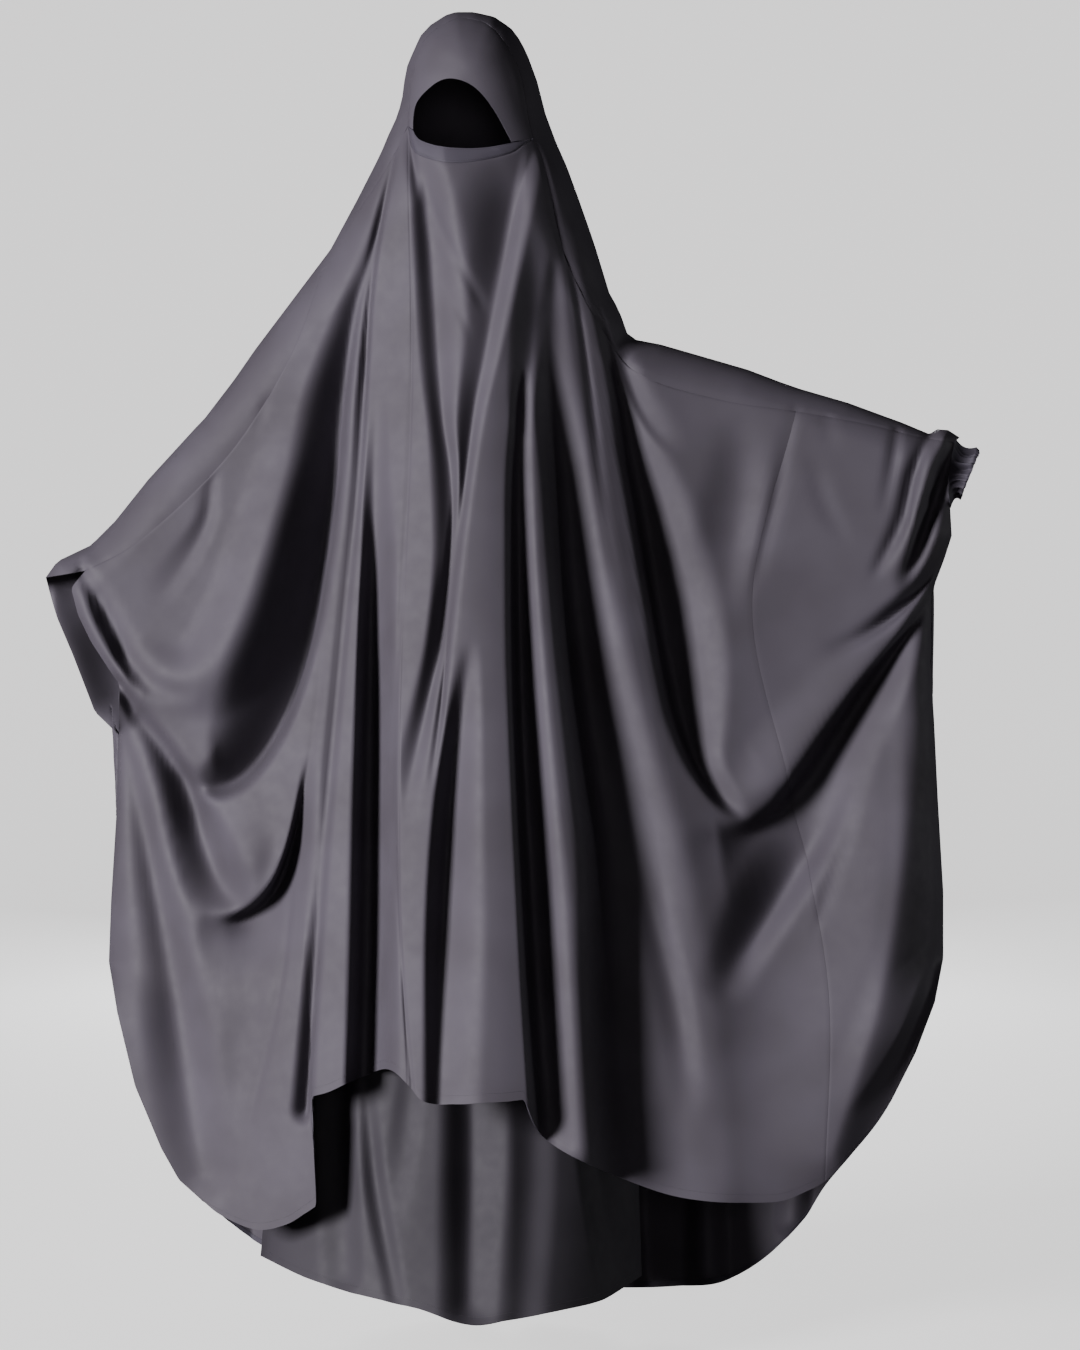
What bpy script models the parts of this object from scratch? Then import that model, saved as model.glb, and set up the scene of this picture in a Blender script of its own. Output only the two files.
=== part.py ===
"""Two-piece jilbab: an overhead mantle with hood, forehead piece and half face veil, over a long skirt.

The mantle is shown as worn with both sleeves spread, so its solids are thin walls round a hollow.
Every wall is an open grid on one drape function, thickened with Solidify.
Lengths in the tables are centimetres: `across` runs right from the crown of the hood, `drop` down
from it. Both are measured in the upright plane through the sleeves, seen from an eye point in
front, and `place` carries them to each point's real depth.
"""

import math

import bmesh
import bpy
import numpy as np

CM = 0.01
WALL = 0.0016
SEAM_GAP = 0.06
SEAM_MARGIN = 0.15
SIDE_SEAM_GAP = 0.18

EYE_ACROSS = 9.4
EYE_DROP = 86.0
EYE_DISTANCE = 400.0

CLOTH_COLOUR = (0.075, 0.068, 0.080, 1.0)
BAND_COLOUR = (0.050, 0.045, 0.054, 1.0)
CLOTH_ROUGHNESS = 0.55

# Upper edge of the mantle, where the cloth turns over the sleeves and the hood: across, drop
TOP_EDGE = (
    (-54.9, 73.5), (-53.4, 71.4), (-49.0, 69.3), (-45.9, 66.2), (-41.6, 60.8), (-35.2, 53.8),
    (-34.3, 52.9), (-30.4, 47.8), (-27.7, 43.9), (-17.9, 30.9), (-14.4, 24.4), (-11.4, 18.5),
    (-10.4, 16.1), (-9.2, 13.5), (-8.6, 11.4), (-8.1, 7.5), (-7.5, 6.0), (-6.2, 3.1),
    (-4.9, 1.7), (-2.9, 0.4), (-1.6, 0.0), (0.7, 0.0), (3.4, 0.6), (5.6, 2.1), (6.9, 3.8),
    (7.9, 6.0), (9.0, 9.0), (10.1, 13.3), (11.4, 16.8), (12.9, 20.2), (14.4, 24.3),
    (16.4, 30.0), (18.5, 36.9), (19.6, 38.6), (20.9, 42.3), (21.3, 42.5), (25.0, 43.2),
    (30.2, 44.7), (36.4, 46.5), (40.6, 48.1), (43.2, 49.0), (49.4, 50.8), (56.2, 53.3),
    (60.1, 54.9), (61.9, 54.0), (63.9, 55.3),
)
# Side seams, below each wrist: drop, across
LEFT_SEAM = ((94.0, -45.4), (102.4, -45.6), (115.4, -46.4), (123.4, -46.7))
RIGHT_SEAM = (
    (64.5, 63.3), (68.1, 62.9), (71.2, 61.9), (75.4, 60.3), (84.2, 60.1), (92.0, 60.6),
    (102.4, 61.1), (114.4, 61.8), (123.0, 61.8),
)
# Free edges beside the seams, above and below: drop, across
LEFT_SLEEVE_LIP = ((72.7, -49.9), (74.9, -51.6), (78.4, -50.7), (81.9, -49.0), (87.4, -45.4))
LEFT_SLEEVE_BACK = ((73.5, -54.9), (78.8, -53.4), (83.5, -51.4), (91.0, -48.5))
LEFT_CURVE = ((130.1, -45.6), (139.6, -43.3), (147.7, -39.9), (151.8, -37.6), (154.4, -34.7))
WRIST_EDGE = ((55.3, 63.9), (58.5, 63.7), (62.0, 63.5))
RIGHT_CURVE = ((128.7, 60.7), (135.3, 58.2), (141.6, 55.0), (148.7, 49.7))

# Fall lines of the front, from its upper seam to its hem, with the cloth's place across at each
# quarter of the way: name, top across, top drop, across at 1/4, 1/2 and 3/4, hem across, hem
# drop, grid columns up to the next line
FRONT_FALLS = (
    ("sleeve lip and left seam", -49.9, 72.7, 0, 0, 0, -34.7, 154.4, 3),
    ("outer left wing", -43.0, 68.9, -42.9, -42.0, -40.0, -32.0, 156.5, 3),
    ("left wing", -34.3, 61.1, -36.1, -34.8, -32.5, -27.6, 158.3, 3),
    ("left swag", -28.3, 53.7, -30.2, -29.6, -27.3, -23.8, 157.7, 2),
    ("left wing, inner", -22.7, 43.9, -25.1, -25.5, -23.7, -21.2, 156.2, 2),
    ("left wing edge", -18.6, 32.9, -21.2, -22.9, -22.1, -19.7, 155.2, 2),
    ("flap edge", -16.9, 29.6, -16.9, -19.5, -21.3, -20.4, 141.0, 2),
    ("first ridge", -13.3, 24.4, -13.7, -15.7, -18.3, -18.1, 140.4, 2),
    ("second groove, left", -11.4, 21.6, -12.2, -13.9, -15.1, -15.3, 139.1, 3),
    ("second groove, right", -9.9, 19.0, -9.9, -10.3, -9.8, -10.7, 137.4, 2),
    ("left temple", -7.9, 14.8, -7.3, -8.3, -9.0, -7.8, 139.5, 2),
    ("veil, left", -7.3, 17.9, -5.6, -6.6, -7.2, -6.2, 141.4, 2),
    ("third groove", -4.7, 19.2, -4.0, -5.2, -5.7, -4.2, 142.0, 2),
    ("veil, middle", -1.3, 19.6, -2.5, -3.9, -4.2, -2.1, 142.0, 2),
    ("veil, right", 2.3, 19.2, -0.8, -3.1, -2.6, -0.3, 142.0, 2),
    ("drape edge", 5.7, 18.3, 0.9, -2.3, -0.8, 1.8, 141.8, 2),
    ("centre drape", 7.3, 17.2, 3.1, 1.3, 2.6, 4.6, 141.7, 3),
    ("fifth groove, left", 8.5, 16.5, 5.3, 5.3, 5.7, 7.3, 141.4, 3),
    ("fifth groove, right", 9.5, 18.5, 7.3, 7.7, 9.0, 10.0, 146.6, 2),
    ("sixth ridge", 10.7, 23.5, 9.5, 10.9, 14.7, 17.3, 150.5, 3),
    ("seventh groove", 11.8, 28.9, 13.8, 17.1, 23.0, 25.0, 153.5, 3),
    ("eighth ridge", 13.3, 33.5, 20.2, 27.7, 30.2, 30.9, 154.6, 2),
    ("ninth groove", 17.2, 40.8, 26.0, 31.2, 35.1, 36.0, 154.8, 2),
    ("right swag", 22.4, 47.1, 30.5, 34.9, 39.3, 40.7, 154.6, 2),
    ("right wing, inner", 32.8, 50.4, 33.7, 38.6, 43.4, 43.8, 153.4, 2),
    ("joining seam", 42.6, 51.9, 36.9, 42.1, 46.8, 46.4, 152.0, 3),
    ("right wing", 52.0, 53.6, 48.1, 50.3, 53.6, 49.7, 148.7, 2),
    ("outer right wing", 58.1, 55.1, 55.1, 56.2, 58.4, 55.0, 141.6, 2),
    ("wrist and right seam", 63.9, 56.0, 0, 0, 0, 60.7, 128.7, 0),
)
JOINING_SEAM = "joining seam"
VEIL_START, VEIL_END = "left temple", "fifth groove, left"

# The back and hood in one: each line starts on the front seam above, turns over the top edge and
# falls to the back hem. Name, top edge across and drop, across half way down, hem across and drop
BACK_FALLS_LEFT = (
    ("sleeve lip and left seam", -54.9, 73.5, 0, -34.7, 154.4),
    ("outer left wing", -45.9, 66.2, -44.0, -33.0, 155.5),
    ("left wing", -38.4, 57.3, -40.0, -31.3, 157.0),
    ("left swag", -32.5, 50.5, -35.5, -29.0, 158.8),
    ("left wing, inner", -25.5, 41.0, -30.3, -25.5, 161.0),
    ("left wing edge", -20.0, 33.7, -25.7, -21.5, 162.6),
    ("flap edge", -17.3, 29.8, -21.8, -17.3, 163.6),
    ("first ridge", -14.4, 24.4, -17.3, -13.3, 164.5),
    ("second groove, left", -12.8, 21.2, -14.7, -10.7, 165.0),
    ("second groove, right", -11.2, 18.0, -12.5, -8.5, 165.4),
    ("left temple", -9.4, 13.9, -10.8, -6.5, 165.7),
)
# Over the hood: seam to the forehead piece across and drop, top edge across and drop, and so on
BACK_FALLS_HOOD = (
    (-7.6, 11.0, -8.55, 11.0, -9.4, -5.0, 166.0),
    (-7.0, 6.8, -7.95, 7.0, -8.0, -3.5, 166.0),
    (-6.2, 4.4, -6.9, 4.6, -6.5, -2.3, 166.0),
    (-4.2, 2.2, -4.9, 1.7, -5.0, -1.2, 166.1),
    (-1.7, 0.9, -1.8, 0.05, -3.2, 0.0, 166.1),
    (-0.2, 0.8, 0.0, 0.0, -1.5, 1.2, 166.1),
    (2.0, 1.3, 2.4, 0.4, 0.3, 2.4, 166.1),
    (3.6, 2.4, 4.5, 1.35, 2.3, 3.7, 166.1),
    (5.1, 4.4, 6.6, 3.4, 4.3, 5.0, 166.1),
    (6.4, 6.9, 7.9, 6.0, 6.0, 6.4, 166.0),
    (7.2, 9.7, 9.0, 9.0, 7.5, 7.8, 166.0),
    (7.8, 13.5, 10.1, 13.3, 9.0, 9.3, 166.0),
)
BACK_FALLS_RIGHT = (
    ("fifth groove, left", 11.4, 16.8, 10.5, 10.8, 166.0),
    ("fifth groove, right", 12.3, 18.9, 12.5, 12.4, 166.0),
    ("sixth ridge", 14.0, 23.2, 14.6, 14.2, 166.0),
    ("seventh groove", 15.9, 28.5, 17.0, 16.4, 165.9),
    ("eighth ridge", 17.4, 33.3, 20.0, 19.0, 165.8),
    ("ninth groove", 19.9, 39.5, 24.0, 22.4, 165.8),
    ("right swag", 24.0, 43.0, 30.0, 27.0, 165.6),
    ("right wing, inner", 33.5, 45.7, 38.0, 33.0, 165.0),
    ("joining seam", 43.2, 49.0, 46.0, 38.5, 162.0),
    ("right wing", 52.6, 52.0, 53.0, 43.5, 157.0),
    ("outer right wing", 58.6, 54.3, 58.5, 46.5, 152.5),
    ("wrist and right seam", 63.9, 55.3, 0, 49.7, 148.7),
)

# How far the sheets stand from the sleeves' plane, before their folds: drop, depth in the middle,
# half width of that bulge, depth of the hanging sheet, radius of its rolled edge
FRONT_SECTIONS = (
    (0.0, 10.5, 20.0, 10.5, 7.6), (16.0, 11.0, 20.0, 10.0, 8.0), (26.0, 12.5, 14.0, 7.5, 7.0),
    (40.0, 15.0, 14.0, 5.5, 5.0), (60.0, 17.0, 17.0, 5.0, 4.5), (85.0, 19.5, 22.0, 6.0, 5.0),
    (110.0, 22.5, 26.0, 7.0, 8.0), (142.0, 26.0, 28.0, 8.0, 12.0), (160.0, 27.0, 28.0, 8.5, 12.0),
)
BACK_SECTIONS = (
    (0.0, 10.0, 20.0, 10.0, 7.6), (16.0, 9.5, 20.0, 9.0, 8.0), (30.0, 11.0, 18.0, 6.5, 6.0),
    (45.0, 14.0, 18.0, 5.0, 5.0), (70.0, 15.0, 20.0, 5.0, 4.5), (100.0, 20.0, 26.0, 6.0, 6.0),
    (130.0, 25.0, 30.0, 7.0, 9.0), (166.0, 28.0, 32.0, 7.0, 12.0),
)
BODY_CENTRE = 0.5

# Folds: name, route as (across, drop) points, reach to its left or lower side and to its right or
# upper side, width at its start and end as a share of that, depth at its start, middle and end.
# A trough sinks into the garment, and a ridge has a depth below zero.
FRONT_FOLDS = (
    ("left valley", ((-8.7, 15.0), (-10.7, 24.4), (-16.5, 44.0), (-18.9, 58.0), (-21.2, 72.5),
                     (-25.5, 90.0), (-31.0, 99.5), (-36.0, 101.0)), 5.0, 2.6, 0.2, 1.0, 0.6, 5.4, 0.0),
    ("first ridge line", ((-9.6, 19.0), (-13.4, 43.9), (-13.8, 58.0), (-15.2, 72.5), (-17.0, 93.0),
                          (-18.7, 115.0)), 0.9, 1.1, 0.8, 1.2, 0.4, 1.8, 0.0),
    ("left swag under", ((-43.7, 89.4), (-39.7, 95.3), (-36.8, 102.4), (-33.6, 110.5),
                         (-29.2, 116.2), (-24.8, 113.5), (-21.8, 105.5)),
     3.2, 4.4, 0.5, 0.7, 0.8, 4.2, 0.0),
    ("left low swag", ((-36.5, 116.0), (-34.0, 121.5), (-29.9, 126.5), (-25.5, 122.0),
                       (-23.0, 114.5)), 3.6, 4.6, 0.7, 0.8, 0.0, 2.6, 0.0),
    ("left side fold", ((-44.4, 91.0), (-43.0, 102.4), (-40.8, 114.0), (-39.0, 131.0)),
     2.0, 2.6, 0.5, 1.1, 0.3, 2.4, 0.0),
    ("lip crease", ((-48.6, 73.0), (-47.0, 76.8), (-44.5, 83.0), (-41.0, 87.0), (-36.0, 88.6)),
     1.8, 3.0, 0.7, 1.0, 0.8, 2.4, 0.0),
    ("flap edge", ((-19.8, 77.0), (-20.4, 91.0), (-22.2, 105.0), (-22.8, 128.0), (-22.2, 144.0)),
     3.2, 1.0, 0.5, 1.1, 0.0, 2.0, 4.0),
    ("second groove", ((-11.4, 55.0), (-11.9, 72.5), (-12.2, 101.0), (-12.4, 122.0), (-13.0, 141.0)),
     2.4, 2.4, 0.6, 1.3, 0.0, 4.2, 5.4),
    ("third groove", ((-6.0, 18.5), (-4.7, 44.0), (-3.6, 53.5), (-0.9, 61.0)),
     1.2, 1.4, 0.8, 1.2, 0.8, 2.0, 1.0),
    ("under the drape edge", ((-1.2, 60.0), (-2.9, 71.0), (-4.0, 84.0), (-5.4, 92.0), (-7.2, 101.0)),
     2.1, 1.0, 1.0, 1.0, 1.0, 2.8, 0.0),
    ("drape edge", ((7.0, 20.4), (5.2, 25.4), (2.7, 36.5), (0.9, 46.0), (-0.8, 57.0), (-1.8, 66.0)),
     3.6, 0.9, 0.6, 0.8, 0.3, 3.2, 1.0),
    ("hood fold", ((9.2, 20.6), (9.2, 25.0), (7.9, 38.0), (6.3, 47.0)),
     1.0, 1.1, 0.7, 1.0, 0.0, 1.2, 0.0),
    ("fourth groove", ((-0.4, 86.0), (-1.0, 96.0), (-2.2, 108.0), (-1.6, 127.0)),
     1.9, 1.9, 0.7, 1.2, 0.0, 2.8, 0.0),
    ("fifth groove", ((6.1, 47.0), (6.2, 58.2), (6.7, 79.0), (6.9, 102.4), (8.1, 121.6), (9.8, 146.0)),
     1.9, 1.9, 0.7, 1.3, 0.0, 5.0, 6.2),
    ("seventh groove", ((11.6, 30.0), (10.9, 47.8), (12.0, 63.4), (15.3, 99.8), (18.4, 120.0),
                        (20.6, 150.0)), 2.8, 2.8, 0.5, 1.4, 0.0, 5.0, 1.0),
    ("ninth groove", ((15.9, 33.0), (19.0, 50.4), (22.9, 71.2), (27.4, 89.5), (31.0, 98.5),
                      (36.0, 104.6)), 1.4, 4.6, 0.4, 0.9, 0.3, 4.8, 0.0),
    ("right swag under", ((60.0, 77.0), (56.2, 86.8), (47.8, 101.8), (38.6, 115.4), (32.3, 126.5)),
     5.4, 5.0, 0.6, 1.0, 0.5, 3.8, 0.0),
    ("wrist crease, upper", ((61.4, 59.8), (59.3, 66.0), (57.2, 71.2)),
     1.5, 1.5, 1.0, 1.0, 0.8, 1.7, 0.0),
    ("wrist crease, lower", ((61.4, 71.2), (57.0, 75.5), (51.0, 81.6)),
     1.7, 1.6, 0.8, 1.2, 0.8, 1.9, 0.0),
    ("shoulder crease", ((18.2, 40.6), (19.8, 45.2), (22.4, 51.5), (26.0, 56.2)),
     1.0, 1.6, 1.0, 1.0, 0.4, 1.5, 0.0),
    ("left bag", ((-39.0, 80.0), (-34.0, 82.4), (-28.5, 81.0)), 5.5, 5.5, 0.8, 0.8, 0.0, -2.2, 0.0),
    ("right bag", ((36.0, 96.0), (42.5, 93.0), (49.0, 83.0)),
     6.0, 6.0, 0.8, 0.8, 0.0, -2.6, 0.0),
    ("sixth ridge", ((8.3, 50.0), (9.2, 79.0), (11.4, 105.0), (15.6, 141.0)),
     1.6, 1.8, 0.9, 1.6, 0.0, -1.4, -1.2),
    ("centre drape", ((3.2, 48.0), (2.6, 79.0), (3.0, 110.0), (4.8, 141.0)),
     2.6, 2.6, 0.9, 1.2, 0.0, -1.2, -1.4),
)
BACK_FOLDS = (
    ("back, left of centre", ((-6.0, 26.0), (-9.0, 60.0), (-13.0, 100.0), (-16.0, 164.0)),
     3.0, 2.5, 0.6, 1.3, 0.0, 3.2, 4.6),
    ("back, centre", ((1.0, 28.0), (2.0, 65.0), (3.0, 105.0), (5.0, 166.0)),
     2.5, 3.0, 0.6, 1.3, 0.0, 3.4, 5.0),
    ("back, right of centre", ((9.0, 34.0), (13.0, 70.0), (17.0, 110.0), (20.0, 166.0)),
     2.5, 2.9, 0.6, 1.3, 0.0, 3.2, 4.6),
    ("back left swag", ((-14.0, 32.0), (-22.0, 62.0), (-29.0, 88.0), (-36.0, 99.0), (-43.5, 92.0)),
     4.2, 4.2, 0.5, 0.8, 0.0, 2.8, 0.0),
    ("back right swag", ((15.0, 40.0), (22.0, 66.0), (30.0, 92.0), (38.0, 104.0), (48.0, 98.0),
                         (57.0, 82.0)), 4.2, 4.6, 0.5, 0.8, 0.0, 3.0, 0.0),
    ("back left fall", ((-21.0, 80.0), (-24.0, 110.0), (-25.5, 160.0)), 2.4, 2.8, 0.5, 1.2, 0.0, 2.6, 3.6),
    ("back right fall", ((29.0, 108.0), (30.5, 130.0), (31.0, 164.0)), 2.6, 2.8, 0.6, 1.2, 0.0, 2.4, 3.2),
    ("back right edge", ((45.0, 104.0), (46.0, 122.0), (42.0, 156.0)), 2.4, 2.4, 0.6, 1.1, 0.0, 2.0, 1.6),
    ("back left edge", ((-37.0, 106.0), (-36.0, 128.0), (-32.0, 154.0)), 2.4, 2.4, 0.6, 1.1, 0.0, 1.8, 1.6),
    ("nape, left", ((-3.4, 15.0), (-4.4, 24.0), (-3.6, 36.0)), 1.6, 1.6, 0.7, 1.0, 0.0, 1.1, 0.0),
    ("nape, right", ((3.6, 16.0), (5.4, 26.0), (5.0, 38.0)), 1.6, 1.6, 0.7, 1.0, 0.0, 1.1, 0.0),
)

# Face opening: its lower edge, with the stitched band below it, and its arch. Across, drop
FACE_LOWER = (
    (-7.7, 15.1), (-7.0, 15.7), (-6.1, 16.7), (-3.9, 17.4), (-0.7, 17.7), (2.3, 17.6), (5.2, 17.1),
    (7.0, 16.85),
)
FACE_ARCH = (
    (-7.2, 14.8), (-6.7, 11.8), (-5.0, 9.9), (-3.3, 8.8), (-1.6, 8.7), (0.3, 9.4), (2.0, 10.9),
    (3.7, 13.3), (5.0, 15.7), (5.6, 16.6),
)
BAND_START, BAND_END = "veil, left", "centre drape"
FOREHEAD_SEAM_GAP = 0.16
FOREHEAD_ROWS, BAND_ROWS, BAND_COLUMNS_EACH = 4, 3, 3

# Skirt: drop, left edge, right edge, front depth, back depth
SKIRT_SECTIONS = (
    (70.0, -16.5, 15.5, 11.0, 11.5), (85.0, -19.5, 18.5, 12.5, 14.47), (105.0, -21.5, 20.0, 13.5, 15.8),
    (125.0, -23.5, 21.0, 14.5, 17.0), (145.0, -25.5, 22.0, 17.5, 19.0), (171.0, -27.8, 22.8, 24.0, 22.0),
)
# Hem of the skirt's front and back: share of the width from left to right, drop
SKIRT_FRONT_HEM = (
    (0.0, 161.7), (0.12, 164.5), (0.25, 166.6), (0.42, 168.6), (0.55, 170.6), (0.64, 170.2),
    (0.78, 168.9), (0.9, 167.4), (1.0, 164.3),
)
SKIRT_BACK_HEM = ((0.0, 161.7), (0.25, 159.8), (0.5, 159.2), (0.75, 160.4), (1.0, 164.3))
SKIRT_FRONT_FOLDS = (
    ("skirt left", ((-17.0, 120.0), (-17.0, 142.0), (-16.5, 160.0)), 2.8, 2.8, 0.7, 1.0, 0.0, 2.6, 2.0),
    ("skirt curve", ((-13.5, 138.0), (-12.3, 155.0), (-9.5, 166.0)), 1.6, 1.9, 0.8, 1.0, 0.0, 1.5, 0.0),
    ("skirt middle", ((-2.7, 118.0), (-1.8, 146.0), (-3.4, 164.0)), 2.2, 1.9, 0.7, 1.0, 0.0, 3.2, 2.0),
    ("skirt right", ((13.0, 118.0), (16.6, 148.0), (20.0, 167.0)), 2.6, 3.0, 0.6, 1.0, 0.0, 3.6, 3.0),
    ("skirt fine", ((-7.0, 120.0), (-7.4, 142.0), (-7.6, 156.0)), 1.7, 1.7, 0.8, 1.0, 0.0, 1.0, 0.0),
    ("skirt drape", ((7.0, 118.0), (8.4, 145.0), (8.6, 169.0)), 2.6, 2.6, 0.7, 1.2, 0.0, 1.2, 1.8),
)
SKIRT_BACK_FOLDS = (
    ("skirt back left", ((-13.0, 90.0), (-15.0, 125.0), (-17.0, 160.0)), 2.4, 2.4, 0.6, 1.2, 0.4, 2.6, 3.4),
    ("skirt back middle", ((-2.0, 88.0), (-3.0, 122.0), (-4.0, 160.0)), 2.4, 2.6, 0.6, 1.2, 0.4, 2.8, 3.6),
    ("skirt back right", ((9.0, 90.0), (10.5, 126.0), (12.0, 162.0)), 2.4, 2.4, 0.6, 1.2, 0.4, 2.6, 3.2),
)
SKIRT_COLUMNS, SKIRT_ROWS = 26, 12
WAISTBAND_HEIGHT = 3.5
WAIST_GATHERS, WAIST_GATHER_DEPTH, WAIST_GATHER_LENGTH = 10, 0.25, 14.0
WAISTBAND_SIDES = 64

STRIP_SHARE, TOP_ROW = 0.45, 3
WIDEST_COLUMN = 3.0
BACK_ROWS, FRONT_ROWS = 18, 26
BACK_ROW_GROWTH, FRONT_ROW_GROWTH = 1.15, 1.25

# Elastic cuff at the right wrist, from the sleeve's mouth to its rim: across, drop
CUFF_RIM_TOP, CUFF_RIM_BOTTOM = (66.4, 57.0), (64.4, 63.3)
CUFF_RIM_HALF_DEPTH = 3.0
CUFF_COLLAR = 0.2
CUFF_SQUEEZE = 0.16
CUFF_RUFFLES, CUFF_RUFFLE_DEPTH = 14, 0.2
CUFF_SIDES, CUFF_RINGS = 42, 6
# The sleeve's depth is drawn in round its mouth: centre across and drop, reach, share taken away
WRIST_DRAW_IN = (64.2, 60.1, 4.5, 0.3)


def place(across, drop, depth):
    """World points in metres for a place in the sleeves' plane, carried along its line of sight."""
    scale = (EYE_DISTANCE + depth) / EYE_DISTANCE
    x = EYE_ACROSS + (across - EYE_ACROSS) * scale
    z = EYE_DROP + (drop - EYE_DROP) * scale
    return np.stack([x, depth, -z], axis=-1) * CM


def columns_of(table, drop):
    """The columns after the first of a table of sections, read at each drop."""
    table = np.array(table)
    return [np.interp(drop, table[:, 0], table[:, k]) for k in range(1, table.shape[1])]


def swapped(pairs):
    return [(second, first) for first, second in pairs]


def distance_to(route, across, drop):
    """Distance from each point to a route of straight pieces, the share of the way along it, and
    the side: above zero to the right of a route that runs down."""
    route = np.array(route, float)
    steps = np.linalg.norm(np.diff(route, axis=0), axis=1)
    start_of = np.concatenate([[0.0], np.cumsum(steps)])
    nearest = np.full(np.shape(across), 1e9)
    along = np.zeros_like(nearest)
    side = np.zeros_like(nearest)
    for k, length in enumerate(steps):
        direction = (route[k + 1] - route[k]) / length
        from_across, from_drop = across - route[k, 0], drop - route[k, 1]
        reach = np.clip(from_across * direction[0] + from_drop * direction[1], 0.0, length)
        gap = np.hypot(from_across - reach * direction[0], from_drop - reach * direction[1])
        closer = gap < nearest
        nearest = np.where(closer, gap, nearest)
        along = np.where(closer, (start_of[k] + reach) / start_of[-1], along)
        side = np.where(closer, direction[1] * from_across - direction[0] * from_drop, side)
    return nearest, along, side


def smooth_route(points, pieces=5):
    """A curve through the route's points, as short straight pieces."""
    points = np.array(points, float)
    padded = np.vstack([2 * points[0] - points[1], points, 2 * points[-1] - points[-2]])
    curve = []
    for k in range(1, len(padded) - 2):
        before, here, there, after = padded[k - 1 : k + 3]
        for t in np.arange(pieces) / pieces:
            curve.append(
                0.5 * (2 * here + (there - before) * t + (2 * before - 5 * here + 4 * there - after) * t**2
                       + (3 * here - before - 3 * there + after) * t**3)
            )
    curve.append(points[-1])
    return curve


def through_three(values, share):
    """A smooth run through a value at the start, the middle and the end."""
    start, middle, end = values
    return (
        start * 2 * (share - 0.5) * (share - 1)
        - middle * 4 * share * (share - 1)
        + end * 2 * share * (share - 0.5)
    )


def fold_depths(folds, across, drop):
    """How far all the folds together push a sheet in, at each point."""
    total = np.zeros(np.shape(across))
    for _, route, left_reach, right_reach, start_width, end_width, *depths in folds:
        gap, along, side = distance_to(smooth_route(route), across, drop)
        reach = left_reach + (right_reach - left_reach) * (1 + side / np.maximum(gap, 1e-6)) / 2
        middle_width = max(1.0, start_width, end_width)
        reach = reach * np.interp(along, [0.0, 0.5, 1.0], [start_width, middle_width, end_width])
        share = np.clip(gap / reach, 0.0, 1.0)
        total = total + through_three(depths, along) * (1 - share**2) ** 2
    return total


def edge_distance(across, drop):
    """Distance to the edges where front and back meet: sleeve tops, hood top and side seams."""
    edges = (TOP_EDGE, swapped(LEFT_SEAM), swapped(RIGHT_SEAM))
    return np.minimum.reduce([distance_to(edge, across, drop)[0] for edge in edges])


def sheet_depth(across, drop, sections, folds):
    """How far a sheet of the mantle stands from the sleeves' plane at each point."""
    body, spread, sheet, roll = columns_of(sections, drop)
    bulge = sheet + (body - sheet) * np.exp(-(((across - BODY_CENTRE) / spread) ** 2))
    rolled = np.clip(edge_distance(across, drop) / roll, 0.0, 1.0)
    rolled = np.sqrt(1 - (1 - rolled) ** 2)
    mouth_across, mouth_drop, reach, taken = WRIST_DRAW_IN
    from_mouth = np.hypot(across - mouth_across, drop - mouth_drop) / reach
    drawn_in = 1 - taken * np.exp(-(from_mouth**2))
    return (bulge - fold_depths(folds, across, drop)) * rolled * drawn_in


def front_depth(across, drop):
    return -sheet_depth(across, drop, FRONT_SECTIONS, FRONT_FOLDS)


def back_depth(across, drop):
    return sheet_depth(across, drop, BACK_SECTIONS, BACK_FOLDS)


def edge_across(drop, above, seam, below):
    """Place across of a side of the mantle: its free edge, its seam, and its curved lower edge."""
    side = np.array(above + seam + below)
    return np.interp(drop, side[:, 0], side[:, 1])


def link(grid_columns, grid_rows, points, name, colour, outwards, thickness=WALL):
    """An object from a grid whose points are moved into place, with a wall from Solidify."""
    mesh = bpy.data.meshes.new(name)
    grid = bmesh.new()
    bmesh.ops.create_grid(grid, x_segments=grid_columns, y_segments=grid_rows, size=1.0)
    for vertex in grid.verts:
        column = round((vertex.co.x + 1) / 2 * grid_columns)
        row = round((vertex.co.y + 1) / 2 * grid_rows)
        vertex.co = points[row, column]
    grid.normal_update()
    if sum(face.normal.y * face.calc_area() for face in grid.faces) * outwards < 0:
        bmesh.ops.reverse_faces(grid, faces=grid.faces[:])
    grid.to_mesh(mesh)
    grid.free()
    mesh.shade_smooth()
    return finished(mesh, name, colour, thickness)


def finished(mesh, name, colour, thickness=WALL):
    piece = bpy.data.objects.new(name, mesh)
    garment.objects.link(piece)
    mesh.materials.append(cloth_material(name, colour))
    wall = piece.modifiers.new("Wall", "SOLIDIFY")
    wall.thickness = thickness
    wall.offset = -1.0
    return piece


def cloth_material(name, colour):
    material = bpy.data.materials.new(name + " satin crepe")
    material.use_nodes = True
    shader = material.node_tree.nodes["Principled BSDF"]
    shader.inputs["Base Color"].default_value = colour
    shader.inputs["Roughness"].default_value = CLOTH_ROUGHNESS
    shader.inputs["Metallic"].default_value = 0.0
    return material


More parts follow.
